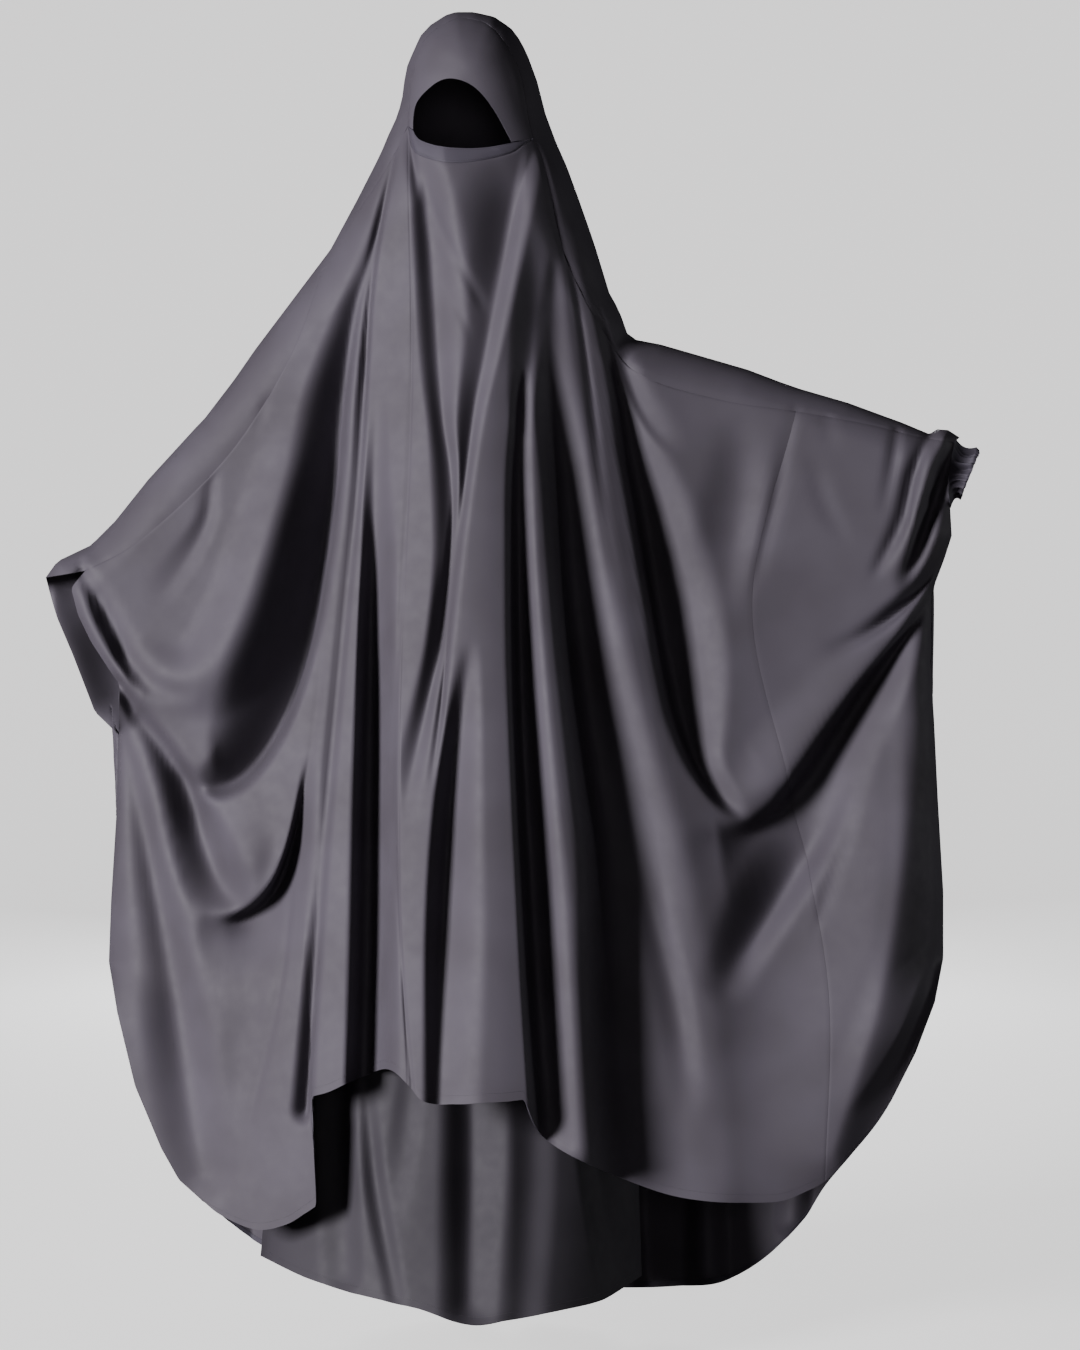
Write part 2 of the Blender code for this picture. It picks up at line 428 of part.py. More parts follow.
def front_grid():
    """Across and drop of every point of the front's grid, and each named line's column in it."""
    rows = np.linspace(0.0, 1.0, FRONT_ROWS + 1) ** FRONT_ROW_GROWTH
    rows = np.insert(rows, 1, rows[1] / 2)
    lines, starts, column = [], {}, 0
    for k, (name, top, top_drop, quarter, half, three_quarters, hem, hem_drop, count) in enumerate(
        FRONT_FALLS
    ):
        drop = top_drop + (hem_drop - top_drop) * rows
        if k == 0:
            across = edge_across(drop, LEFT_SLEEVE_LIP, LEFT_SEAM, LEFT_CURVE)
        elif k == len(FRONT_FALLS) - 1:
            across = edge_across(drop, WRIST_EDGE, RIGHT_SEAM, RIGHT_CURVE)
        else:
            fall = smooth_route([(top, 0.0), (quarter, 0.25), (half, 0.5), (three_quarters, 0.75), (hem, 1.0)])
            fall = np.array(fall)
            across = np.interp(rows, fall[:, 1], fall[:, 0])
        lines.append(np.stack([across, drop], axis=-1))
        starts[name] = column
        column += count
    across_drop = []
    for line, following, row in zip(lines, lines[1:], FRONT_FALLS):
        for share in np.arange(row[-1]) / row[-1]:
            across_drop.append(line + (following - line) * share)
    across_drop.append(lines[-1])
    return np.array(across_drop).transpose(1, 0, 2), starts


def below_seam(seam, distance):
    """A row of points moved down off the seam, square to it."""
    slope = np.gradient(seam, axis=0)
    slope /= np.linalg.norm(slope, axis=1, keepdims=True)
    return seam + distance * np.stack([-slope[:, 1], slope[:, 0]], axis=-1)


def straight_between(points, columns):
    """A row of points made straight between the given columns, as a sewn edge is shared by both."""
    at = np.arange(len(points))
    return np.stack([np.interp(at, columns, points[columns, k]) for k in range(3)], axis=-1)


def make_front():
    """The front in two pieces, because its cloth is not wide enough: panel and right-hand wing."""
    across_drop, starts = front_grid()
    seam_line = across_drop[0].copy()
    across_drop[0] = below_seam(seam_line, SEAM_GAP)
    across_drop[1] = below_seam(seam_line, SEAM_GAP + SEAM_MARGIN)
    across, drop = across_drop[..., 0], across_drop[..., 1]
    depth = np.minimum(front_depth(across, drop), -SIDE_SEAM_GAP)
    points = place(across, drop, depth)
    for row in (0, 1):
        points[row] = straight_between(points[row], sorted(starts.values()))
    seam = starts[JOINING_SEAM]
    wing = points[:, seam:].copy()
    wing[:, 0, 0] += SEAM_GAP * CM
    for name, part in (("front_panel", points[:, : seam + 1]), ("front_wing", wing)):
        link(part.shape[1] - 1, part.shape[0] - 1, part, name, CLOTH_COLOUR, outwards=-1)


def back_lines():
    """For each line of the back: its start on the front seam, its top edge point, its middle and hem."""
    tops = {row[0]: (row[1], row[2]) for row in FRONT_FALLS}
    lines = [(*tops[name], *rest) for name, *rest in BACK_FALLS_LEFT]
    lines += BACK_FALLS_HOOD
    lines += [(*tops[name], *rest) for name, *rest in BACK_FALLS_RIGHT]
    return np.array(lines)


def make_back():
    """Back and hood: up from the front seam, over the top edge, and down behind to the hem."""
    seam_a, seam_d, top_a, top_d, middle_a, hem_a, hem_d = back_lines().T
    seam, top = np.stack([seam_a, seam_d], axis=-1), np.stack([top_a, top_d], axis=-1)
    margin = SEAM_MARGIN / np.linalg.norm(top - seam, axis=1, keepdims=True)
    rows = [seam + (top - seam) * share for share in (0.0, margin, STRIP_SHARE, 1.0)]
    for share in (np.arange(1, BACK_ROWS + 1) / BACK_ROWS) ** BACK_ROW_GROWTH:
        drop = top_d + (hem_d - top_d) * share
        across = through_three((top_a, middle_a, hem_a), share)
        across[0] = edge_across(drop[0], LEFT_SLEEVE_BACK, LEFT_SEAM, LEFT_CURVE)
        across[-1] = edge_across(drop[-1], WRIST_EDGE, RIGHT_SEAM, RIGHT_CURVE)
        rows.append(np.stack([across, drop], axis=-1))
    wide = np.flatnonzero(np.abs(np.diff(top_a)) > WIDEST_COLUMN)
    columns = np.sort(np.append(np.arange(len(top_a)), wide + 0.5))
    rows = np.array(rows)
    rows = (rows[:, np.floor(columns).astype(int)] + rows[:, np.ceil(columns).astype(int)]) / 2
    across, drop = rows[..., 0], rows[..., 1]
    depth = np.maximum(back_depth(across, drop), SIDE_SEAM_GAP)
    depth[:TOP_ROW] = front_depth(across[:TOP_ROW], drop[:TOP_ROW])
    depth[TOP_ROW] = 0.0
    points = place(across, drop, depth)
    for row in (0, 1):
        points[row] = straight_between(points[row], np.flatnonzero(np.mod(columns, 1.0) == 0))
    link(points.shape[1] - 1, points.shape[0] - 1, points, "back_and_hood", CLOTH_COLOUR, outwards=1)


def along_route(points, count, pieces=12):
    """Evenly spaced points along a curve through the given ones, or along straight pieces."""
    curve = np.array(smooth_route(points, pieces))
    length = np.concatenate([[0.0], np.cumsum(np.linalg.norm(np.diff(curve, axis=0), axis=1))])
    at = np.linspace(0.0, length[-1], count)
    return np.stack([np.interp(at, length, curve[:, k]) for k in range(2)], axis=-1)


def make_forehead_piece():
    """Between the arch of the face opening and the hood's front seam, which it shares."""
    tops = {row[0]: (row[1], row[2]) for row in FRONT_FALLS}
    seam = [tops[VEIL_START]] + [row[:2] for row in BACK_FALLS_HOOD] + [tops[VEIL_END]]
    knots = np.arange(2 * len(seam) - 1) / 2
    outer = np.stack([np.interp(knots, np.arange(len(seam)), np.array(seam)[:, k]) for k in range(2)], -1)
    inner = along_route(FACE_ARCH, len(knots))
    reach = np.linalg.norm(outer - inner, axis=1, keepdims=True)
    outer = outer + (inner - outer) * FOREHEAD_SEAM_GAP / reach
    shares = np.append(np.linspace(0.0, 1.0, FOREHEAD_ROWS + 1)[:, None] + 0 * knots, 1 + 0 * knots[None], 0)
    shares[-2] = 1 - SEAM_MARGIN / reach[:, 0]
    across_drop = inner[None] + (outer - inner)[None] * shares[..., None]
    across, drop = across_drop[..., 0], across_drop[..., 1]
    points = place(across, drop, front_depth(across, drop))
    for row in (-1, -2):
        points[row] = straight_between(points[row], np.flatnonzero(np.mod(knots, 1.0) == 0))
    link(len(knots) - 1, len(points) - 1, points, "forehead_piece", CLOTH_COLOUR, outwards=-1)


def make_face_band():
    """Stitched band under the face opening, sewn to the upper edge of the half veil."""
    names = [row[0] for row in FRONT_FALLS]
    seam = np.array([row[1:3] for row in FRONT_FALLS[names.index(BAND_START) : names.index(BAND_END) + 1]])
    knots = np.arange((len(seam) - 1) * BAND_COLUMNS_EACH + 1) / BAND_COLUMNS_EACH
    lower = np.stack([np.interp(knots, np.arange(len(seam)), seam[:, k]) for k in range(2)], axis=-1)
    margin = below_seam(lower, -SEAM_MARGIN)
    upper = along_route(FACE_LOWER, len(knots))
    shares = np.linspace(0.0, 1.0, BAND_ROWS + 1)[:, None, None]
    across_drop = np.append(lower[None], margin + (upper - margin) * shares, axis=0)
    across, drop = across_drop[..., 0], across_drop[..., 1]
    points = place(across, drop, front_depth(across, drop))
    for row in (0, 1):
        points[row] = straight_between(points[row], np.flatnonzero(np.mod(knots, 1.0) == 0))
    link(len(knots) - 1, len(points) - 1, points, "face_band", BAND_COLOUR, outwards=-1)


def sleeve_mouth(turns):
    """The right sleeve's open edge at each turn round it: 0 at the top, a quarter in front."""
    top, bottom = TOP_EDGE[-1][1], RIGHT_SEAM[0][0]
    drop = (top + bottom) / 2 - (bottom - top) / 2 * np.cos(turns)
    across = edge_across(drop, WRIST_EDGE, RIGHT_SEAM, RIGHT_CURVE)
    front = np.minimum(front_depth(across, drop), 0.0)
    back = np.maximum(back_depth(across, drop), 0.0)
    return np.stack([across, drop, np.where(np.sin(turns) > 0, front, back)], axis=-1)


def make_cuff():
    """Elastic cuff: from the sleeve's mouth in to its elastic, then out to a ruffled rim."""
    rim_top, rim_bottom = np.array(CUFF_RIM_TOP), np.array(CUFF_RIM_BOTTOM)
    mesh = bpy.data.meshes.new("wrist_cuff")
    tube = bmesh.new()
    bmesh.ops.create_cone(tube, cap_ends=False, segments=CUFF_SIDES, radius1=1.0, radius2=1.0, depth=1.0)
    lengthwise = [edge for edge in tube.edges if abs(edge.verts[0].co.z - edge.verts[1].co.z) > 0.5]
    bmesh.ops.subdivide_edges(tube, edges=lengthwise, cuts=CUFF_RINGS - 1)
    for vertex in tube.verts:
        ring = round((vertex.co.z + 0.5) * CUFF_RINGS)
        along = max(0.0, (ring - 1) / (CUFF_RINGS - 1))
        turn = math.atan2(vertex.co.y, vertex.co.x)
        mouth = sleeve_mouth(np.array(turn)) + (SEAM_GAP + CUFF_COLLAR * min(ring, 1), 0.0, 0.0)
        rim_centre = np.append((rim_top + rim_bottom) / 2, 0.0)
        rim = rim_centre + np.append((rim_top - rim_bottom) / 2 * math.cos(turn), 0.0)
        rim[2] = -CUFF_RIM_HALF_DEPTH * math.sin(turn)
        point = mouth + (rim - mouth) * along
        centre = np.array((point[0], rim_centre[1], 0.0))
        waist = CUFF_SQUEEZE * math.sin(math.pi * along)
        ruffle = CUFF_RUFFLE_DEPTH / CUFF_RIM_HALF_DEPTH * math.sin(CUFF_RUFFLES * turn) * along
        point = centre + (point - centre) * (1 - waist + ruffle)
        vertex.co = place(*point)
    bmesh.ops.recalc_face_normals(tube, faces=tube.faces[:])
    tube.to_mesh(mesh)
    tube.free()
    mesh.shade_smooth()
    finished(mesh, "wrist_cuff", BAND_COLOUR)


def skirt_points(hem, folds, facing, top_drop):
    """Points of the skirt's front (facing -1) or back (facing 1), from its waist to its hem."""
    shares = np.linspace(0.0, 1.0, SKIRT_COLUMNS + 1)
    across_share = 0.5 - 0.5 * np.cos(math.pi * shares)
    across_share = 0.5 * (across_share + shares)
    hem_drop = np.interp(across_share, *zip(*hem))
    rows = np.linspace(0.0, 1.0, SKIRT_ROWS + 1)[:, None]
    drop = top_drop + (hem_drop[None] - top_drop) * rows
    left, right, front, back = columns_of(SKIRT_SECTIONS, drop)
    across = left + (right - left) * across_share[None]
    round_off = np.sqrt(np.maximum(0.0, 1 - (2 * across_share[None] - 1) ** 2))
    full = front if facing < 0 else back
    gather = WAIST_GATHER_DEPTH * np.sin(2 * math.pi * WAIST_GATHERS * across_share[None])
    gather = gather * np.clip(1 - (drop - top_drop) / WAIST_GATHER_LENGTH, 0.0, 1.0)
    depth = facing * ((full - fold_depths(folds, across, drop)) * round_off + gather * round_off)
    depth = np.maximum(depth, SIDE_SEAM_GAP) if facing > 0 else np.minimum(depth, -SIDE_SEAM_GAP)
    return place(across, drop, depth)


def make_skirt():
    top = SKIRT_SECTIONS[0][0]
    front = skirt_points(SKIRT_FRONT_HEM, SKIRT_FRONT_FOLDS, -1, top)
    back = skirt_points(SKIRT_BACK_HEM, SKIRT_BACK_FOLDS, 1, top)
    link(SKIRT_COLUMNS, SKIRT_ROWS, front, "skirt_front", CLOTH_COLOUR, outwards=-1)
    link(SKIRT_COLUMNS, SKIRT_ROWS, back, "skirt_back", CLOTH_COLOUR, outwards=1)


def make_waistband():
    """Casing of the skirt's elastic, an oval ring that stands just above the skirt's gathers."""
    top, left, right, front, back = SKIRT_SECTIONS[0]
    mesh = bpy.data.meshes.new("skirt_waistband")
    ring = bmesh.new()
    bmesh.ops.create_cone(ring, cap_ends=False, segments=WAISTBAND_SIDES, radius1=1.0, radius2=1.0, depth=1.0)
    for vertex in ring.verts:
        turn = math.atan2(vertex.co.y, vertex.co.x)
        reach = front if vertex.co.y < 0 else back
        across = (left + right) / 2 + (right - left) / 2 * math.cos(turn)
        drop = top - SEAM_GAP - WAISTBAND_HEIGHT * (0.5 + vertex.co.z)
        vertex.co = place(across, drop, reach * math.sin(turn))
    bmesh.ops.recalc_face_normals(ring, faces=ring.faces[:])
    ring.to_mesh(mesh)
    ring.free()
    mesh.shade_smooth()
    finished(mesh, "skirt_waistband", BAND_COLOUR)


for thing in list(bpy.data.objects):
    bpy.data.objects.remove(thing, do_unlink=True)
garment = bpy.data.collections.new("two-piece jilbab")
bpy.context.scene.collection.children.link(garment)
make_front()
make_back()
make_forehead_piece()
make_face_band()
make_cuff()
make_skirt()
make_waistband()
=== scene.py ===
# %% [markdown]
# Two-piece jilbab, as cloth on its imported CAD frame
#
# The real set is sewn from one dark satin crepe: an overhead mantle with hood, forehead piece, half
# face veil, one open sleeve and one sleeve gathered on elastic, worn over a long gathered skirt.
# Each piece that a maker cuts is one sheet here. A sheet could be dropped on a form by simulation, but
# then its folds fall anywhere. So every sheet is a fine grid on one drape function, with the folds that
# the photograph shows drawn in as soft troughs and ridges.

# %% Load the imported frame
import math

import bmesh
import bpy
import numpy as np
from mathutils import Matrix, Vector


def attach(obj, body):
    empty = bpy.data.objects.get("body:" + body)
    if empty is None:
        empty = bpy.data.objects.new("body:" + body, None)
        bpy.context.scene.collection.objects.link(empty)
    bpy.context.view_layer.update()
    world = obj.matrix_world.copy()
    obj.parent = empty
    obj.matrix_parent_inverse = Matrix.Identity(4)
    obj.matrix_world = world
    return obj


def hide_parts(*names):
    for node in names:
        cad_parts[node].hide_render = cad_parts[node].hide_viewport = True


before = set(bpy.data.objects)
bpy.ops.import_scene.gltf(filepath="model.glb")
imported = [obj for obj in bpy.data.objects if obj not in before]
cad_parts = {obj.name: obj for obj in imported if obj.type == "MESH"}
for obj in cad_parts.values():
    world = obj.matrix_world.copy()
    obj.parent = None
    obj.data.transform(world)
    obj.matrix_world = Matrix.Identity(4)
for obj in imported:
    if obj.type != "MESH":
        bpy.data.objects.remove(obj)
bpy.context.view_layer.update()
bpy.ops.object.select_all(action="DESELECT")

# %% [markdown]
# Camera
#
# The photograph was taken level with the middle of the garment from about four metres, so the camera
# looks straight along +Y. Its vertical field is written as the height it covers at that distance.

# %% Camera
CM = 0.01
EYE_ACROSS, EYE_DROP, EYE_DISTANCE = 9.36, 86.19, 400.0
# height that the picture covers in the plane through the sleeves
VIEW_HEIGHT = 175.5

camera = bpy.data.objects.new("garment camera", bpy.data.cameras.new("garment camera"))
bpy.context.scene.collection.objects.link(camera)
camera.location = Vector((EYE_ACROSS, -EYE_DISTANCE, -EYE_DROP)) * CM
camera.rotation_euler = (math.radians(90), 0, 0)
camera.data.sensor_fit = "VERTICAL"
camera.data.sensor_height = 24
camera.data.lens = camera.data.sensor_height * EYE_DISTANCE / VIEW_HEIGHT
bpy.context.scene.camera = camera
print("lens, mm:", round(camera.data.lens, 2))

# %% [markdown]
# Measuring the drape
#
# Lengths are centimetres in the upright plane through both sleeves: across runs right from the crown
# of the hood and drop runs down from it. `place` carries such a point along its line of sight to the
# depth where the cloth really hangs, so the outline in the photograph stays right at every depth.

# %% Placing a point
# the eye that the drape was measured from, within 2 mm of the camera: across, drop and distance
LINE_OF_SIGHT = (9.4, 86.0, 400.0)


def place(across, drop, depth):
    """World point, in metres, of a place on the cloth in centimetres."""
    eye_across, eye_drop, eye_distance = LINE_OF_SIGHT
    scale = (eye_distance + depth) / eye_distance
    x = eye_across + (across - eye_across) * scale
    z = eye_drop + (drop - eye_drop) * scale
    return np.stack([x, depth, -z], axis=-1) * CM


print("crown lands at", place(0.0, 0.0, 0.0))

# %% [markdown]
# Curves through measured points
#
# A measured edge has a few points where the real one is a smooth line. A Bezier curve object could join
# them, but its handles are hard to state in numbers. This spline passes through every given point, works
# on whole rows of a grid at once, and breaks only where a corner is asked for.

# %% Curves through measured points


def spline_at(points, at, corners=()):
    """Points of a smooth curve at each place along it, with a kink only at the given corners."""
    points, at = np.array(points, float), np.asarray(at, float)
    last = len(points) - 1
    k = np.clip(np.floor(at).astype(int), 0, last - 1)
    t = (at - k).reshape((-1,) + (1,) * (points.ndim - 1))
    here, there = points[k], points[k + 1]
    opens = np.isin(k, corners) | (k == 0)
    closes = np.isin(k + 1, corners) | (k + 1 == last)
    shape = (-1,) + (1,) * (points.ndim - 1)
    before = np.where(opens.reshape(shape), 2 * here - there, points[np.maximum(k - 1, 0)])
    after = np.where(closes.reshape(shape), 2 * there - here, points[np.minimum(k + 2, last)])
    return 0.5 * (
        2 * here + (there - before) * t + (2 * before - 5 * here + 4 * there - after) * t**2
        + (3 * here - before - 3 * there + after) * t**3
    )


print("half way along a bend:", spline_at([(0, 0), (1, 1), (2, 0)], [0.5]).round(3))

# %% [markdown]
# Outline of the mantle
#
# The tables below are the measured outline: where the cloth turns over sleeves and hood, the
# side seams below the wrists, and the free edges beside them. The top edge is given as (across, drop),
# and the side edges as (drop, across), because they are looked up by drop. A curve could be traced by
# hand in a view instead, but a table of real sizes can be checked and changed.

# %% Outline of the mantle
TOP_EDGE = (
    (-54.9, 73.5), (-53.4, 71.4), (-49, 69.3), (-45.9, 66.2), (-41.6, 60.8), (-35.2, 53.8), (-34.3, 52.9),
    (-30.4, 47.8), (-27.7, 43.9), (-17.9, 30.9), (-14.4, 24.4), (-11.4, 18.5), (-10.4, 16.1), (-9.2, 13.5),
    (-8.6, 11.4), (-8.1, 7.5), (-7.5, 6), (-6.2, 3.1), (-4.9, 1.7), (-2.9, 0.4), (-1.6, 0), (0.7, 0),
    (3.4, 0.6), (5.6, 2.1), (6.9, 3.8), (7.9, 6), (9, 9), (10.1, 13.3), (11.4, 16.8), (12.9, 20.2),
    (14.4, 24.3), (16.4, 30), (18.5, 36.9), (19.6, 38.6), (20.9, 42.3), (21.3, 42.5), (25, 43.2),
    (30.2, 44.7), (36.4, 46.5), (40.6, 48.1), (43.2, 49), (49.4, 50.8), (56.2, 53.3), (60.1, 54.9),
    (61.9, 54), (63.9, 55.3),
)
LEFT_SEAM = ((94.0, -45.4), (102.4, -45.6), (115.4, -46.4), (123.4, -46.7))
RIGHT_SEAM = (
    (64.5, 62.7), (68.1, 62.9), (71.2, 61.9), (75.4, 60.3), (84.2, 60.1), (92, 60.6), (102.4, 61.1),
    (114.4, 61.8), (123, 61.8),
)
LEFT_SLEEVE_LIP = ((72.7, -49.9), (74.9, -51.6), (78.4, -50.7), (81.9, -49.0), (87.4, -45.4))
LEFT_SLEEVE_BACK = ((73.5, -54.9), (78.8, -53.4), (83.5, -51.4), (91.0, -48.5))
LEFT_CURVE = ((130.1, -45.6), (139.6, -43.3), (147.7, -39.9), (151.8, -37.6), (154.4, -34.7))
WRIST_EDGE = ((55.3, 63.3), (57.4, 62.9), (60.0, 62.5), (62.4, 62.4))
RIGHT_CURVE = ((128.7, 60.7), (135.3, 58.2), (141.6, 55.0), (148.7, 49.7))


def side_across(drop, above, seam, below):
    """Place across of one side: free edge, seam, then the curved lower edge."""
    side = np.array(above + seam + below)
    return np.interp(drop, side[:, 0], side[:, 1])


print("width at the wrists, cm:", RIGHT_SEAM[2][1] - LEFT_SEAM[0][1])

# %% [markdown]
# Depth of the unfolded sheets
#
# One photograph shows no depth, so it is stated here for a few heights: how deep the cloth stands at the
# middle, how wide that bulge spreads, how deep the flat wings hang, and over what width the sheet rolls
# off to its edge. It follows what such a set is worn over and the sweep that its cut needs at the hem.

# %% Depth of the unfolded sheets
# each row: drop, depth at the middle, spread of the bulge, depth of the wings, width of the roll-off
FRONT_SECTIONS = (
    (0, 10.5, 20, 10.5, 7.6), (16, 11, 20, 10, 8), (26, 12.5, 14, 7.5, 7), (40, 15, 14, 5.5, 5),
    (60, 17, 17, 5, 4.5), (85, 19.5, 22, 6, 5), (110, 22.5, 26, 7, 8), (142, 26, 28, 8, 12),
    (160, 27, 28, 8.5, 12),
)
BACK_SECTIONS = (
    (0, 10, 20, 10, 7.6), (16, 9.5, 20, 9, 8), (30, 11, 18, 6.5, 6), (45, 14, 18, 5, 5),
    (70, 15, 20, 5, 4.5), (100, 20, 26, 6, 6), (130, 25, 30, 7, 9), (166, 28, 32, 7, 12),
)
BULGE_MIDDLE = 0.5
# across, drop, reach and share by which the right sleeve narrows to its cuff
WRIST_DRAW_IN = (64.2, 60.1, 4.5, 0.3)


def columns_of(table, drop):
    """The columns of a table of sections at each drop."""
    table = np.array(table)
    return [np.interp(drop, table[:, 0], table[:, n]) for n in range(1, table.shape[1])]


print("front depth at chest height, cm:", np.round(columns_of(FRONT_SECTIONS, 40.0), 1))

# %% Distance to an edge
TURNED_EDGES = [TOP_EDGE] + [
    [(across, drop) for drop, across in seam] for seam in (LEFT_SEAM, RIGHT_SEAM)
]


def nearest_on(route, across, drop):
    """Distance to a route of straight pieces, share of the way along it, side and rightward normal."""
    route = np.array(route, float)
    steps = np.linalg.norm(np.diff(route, axis=0), axis=1)
    start = np.append(0.0, np.cumsum(steps))
    nearest = np.full(across.shape, 1e9)
    along, side, right_across, right_drop = (np.zeros(across.shape) for _ in range(4))
    for n, length in enumerate(steps):
        way = (route[n + 1] - route[n]) / length
        from_across, from_drop = across - route[n, 0], drop - route[n, 1]
        reach = np.clip(from_across * way[0] + from_drop * way[1], 0.0, length)
        gap = np.hypot(from_across - reach * way[0], from_drop - reach * way[1])
        closer = gap < nearest
        nearest = np.where(closer, gap, nearest)
        along = np.where(closer, (start[n] + reach) / start[-1], along)
        side = np.where(closer, way[1] * from_across - way[0] * from_drop, side)
        right_across = np.where(closer, way[1], right_across)
        right_drop = np.where(closer, -way[0], right_drop)
    return nearest, along, side, right_across, right_drop


def edge_distance(across, drop):
    """Distance to the nearest edge where front and back turn into each other."""
    return np.minimum.reduce([nearest_on(edge, across, drop)[0] for edge in TURNED_EDGES])


print("chest to the nearest turned edge, cm:", edge_distance(np.array([0.0]), np.array([40.0])).round(1))

# %% [markdown]
# Folds
#
# Each fold is a row of stations down the cloth: place across, drop, reach to the left, reach to the
# right, and depth, above zero for a trough and below zero for a ridge. A hook pushes the cloth sideways
# where the fold is deep, so that one flank turns steep, as in a real pleat. A squareness of 1 gives a
# sharp crease between two rounded flanks, 2 a soft valley, and 3 a slot between two pipes of cloth. Folds
# could be sculpted by hand, but stations are easily moved, and a fold runs on through a seam.

# %% Fold function
# points of a fold's line from one station to the next, and the least reach of a flank
STEPS_A_STATION, LEAST_REACH = 6, 0.2


def drawn_folds(folds, across, drop):
    """Depth that all folds together take from a sheet, and how far they push it across and down."""
    total, push_across, push_drop = (np.zeros(across.shape) for _ in range(3))
    for stations, hook, square in folds:
        spans = len(stations) - 1
        line = spline_at(stations, np.linspace(0, spans, STEPS_A_STATION * spans + 1))
        widest = np.abs(line[:, 2:4]).max()
        low, high = line[:, :2].min(axis=0) - widest, line[:, :2].max(axis=0) + widest
        near = (across > low[0]) & (across < high[0]) & (drop > low[1]) & (drop < high[1])
        if not near.any():
            continue
        gap, along, side, right_across, right_drop = nearest_on(line[:, :2], across[near], drop[near])
        run = np.append(0.0, np.cumsum(np.linalg.norm(np.diff(line[:, :2], axis=0), axis=1)))
        left, right, depth = (np.interp(along, run / run[-1], line[:, n]) for n in (2, 3, 4))
        reach = left + (right - left) * (1 + side / np.maximum(gap, 1e-6)) / 2
        bump = (1 - np.clip(gap / np.maximum(reach, LEAST_REACH), 0.0, 1.0) ** square) ** 2
        total[near] += depth * bump
        swing = hook * depth * bump / np.abs(line[:, 4]).max()
        push_across[near] += swing * right_across
        push_drop[near] += swing * right_drop
    return total, push_across, push_drop


print("a trough 2 cm deep, at its middle:",
      drawn_folds([(((0, 0, 2, 2, 2), (0, 9, 2, 2, 2)), 0, 2)], np.array([0.0]), np.array([4.5]))[0])

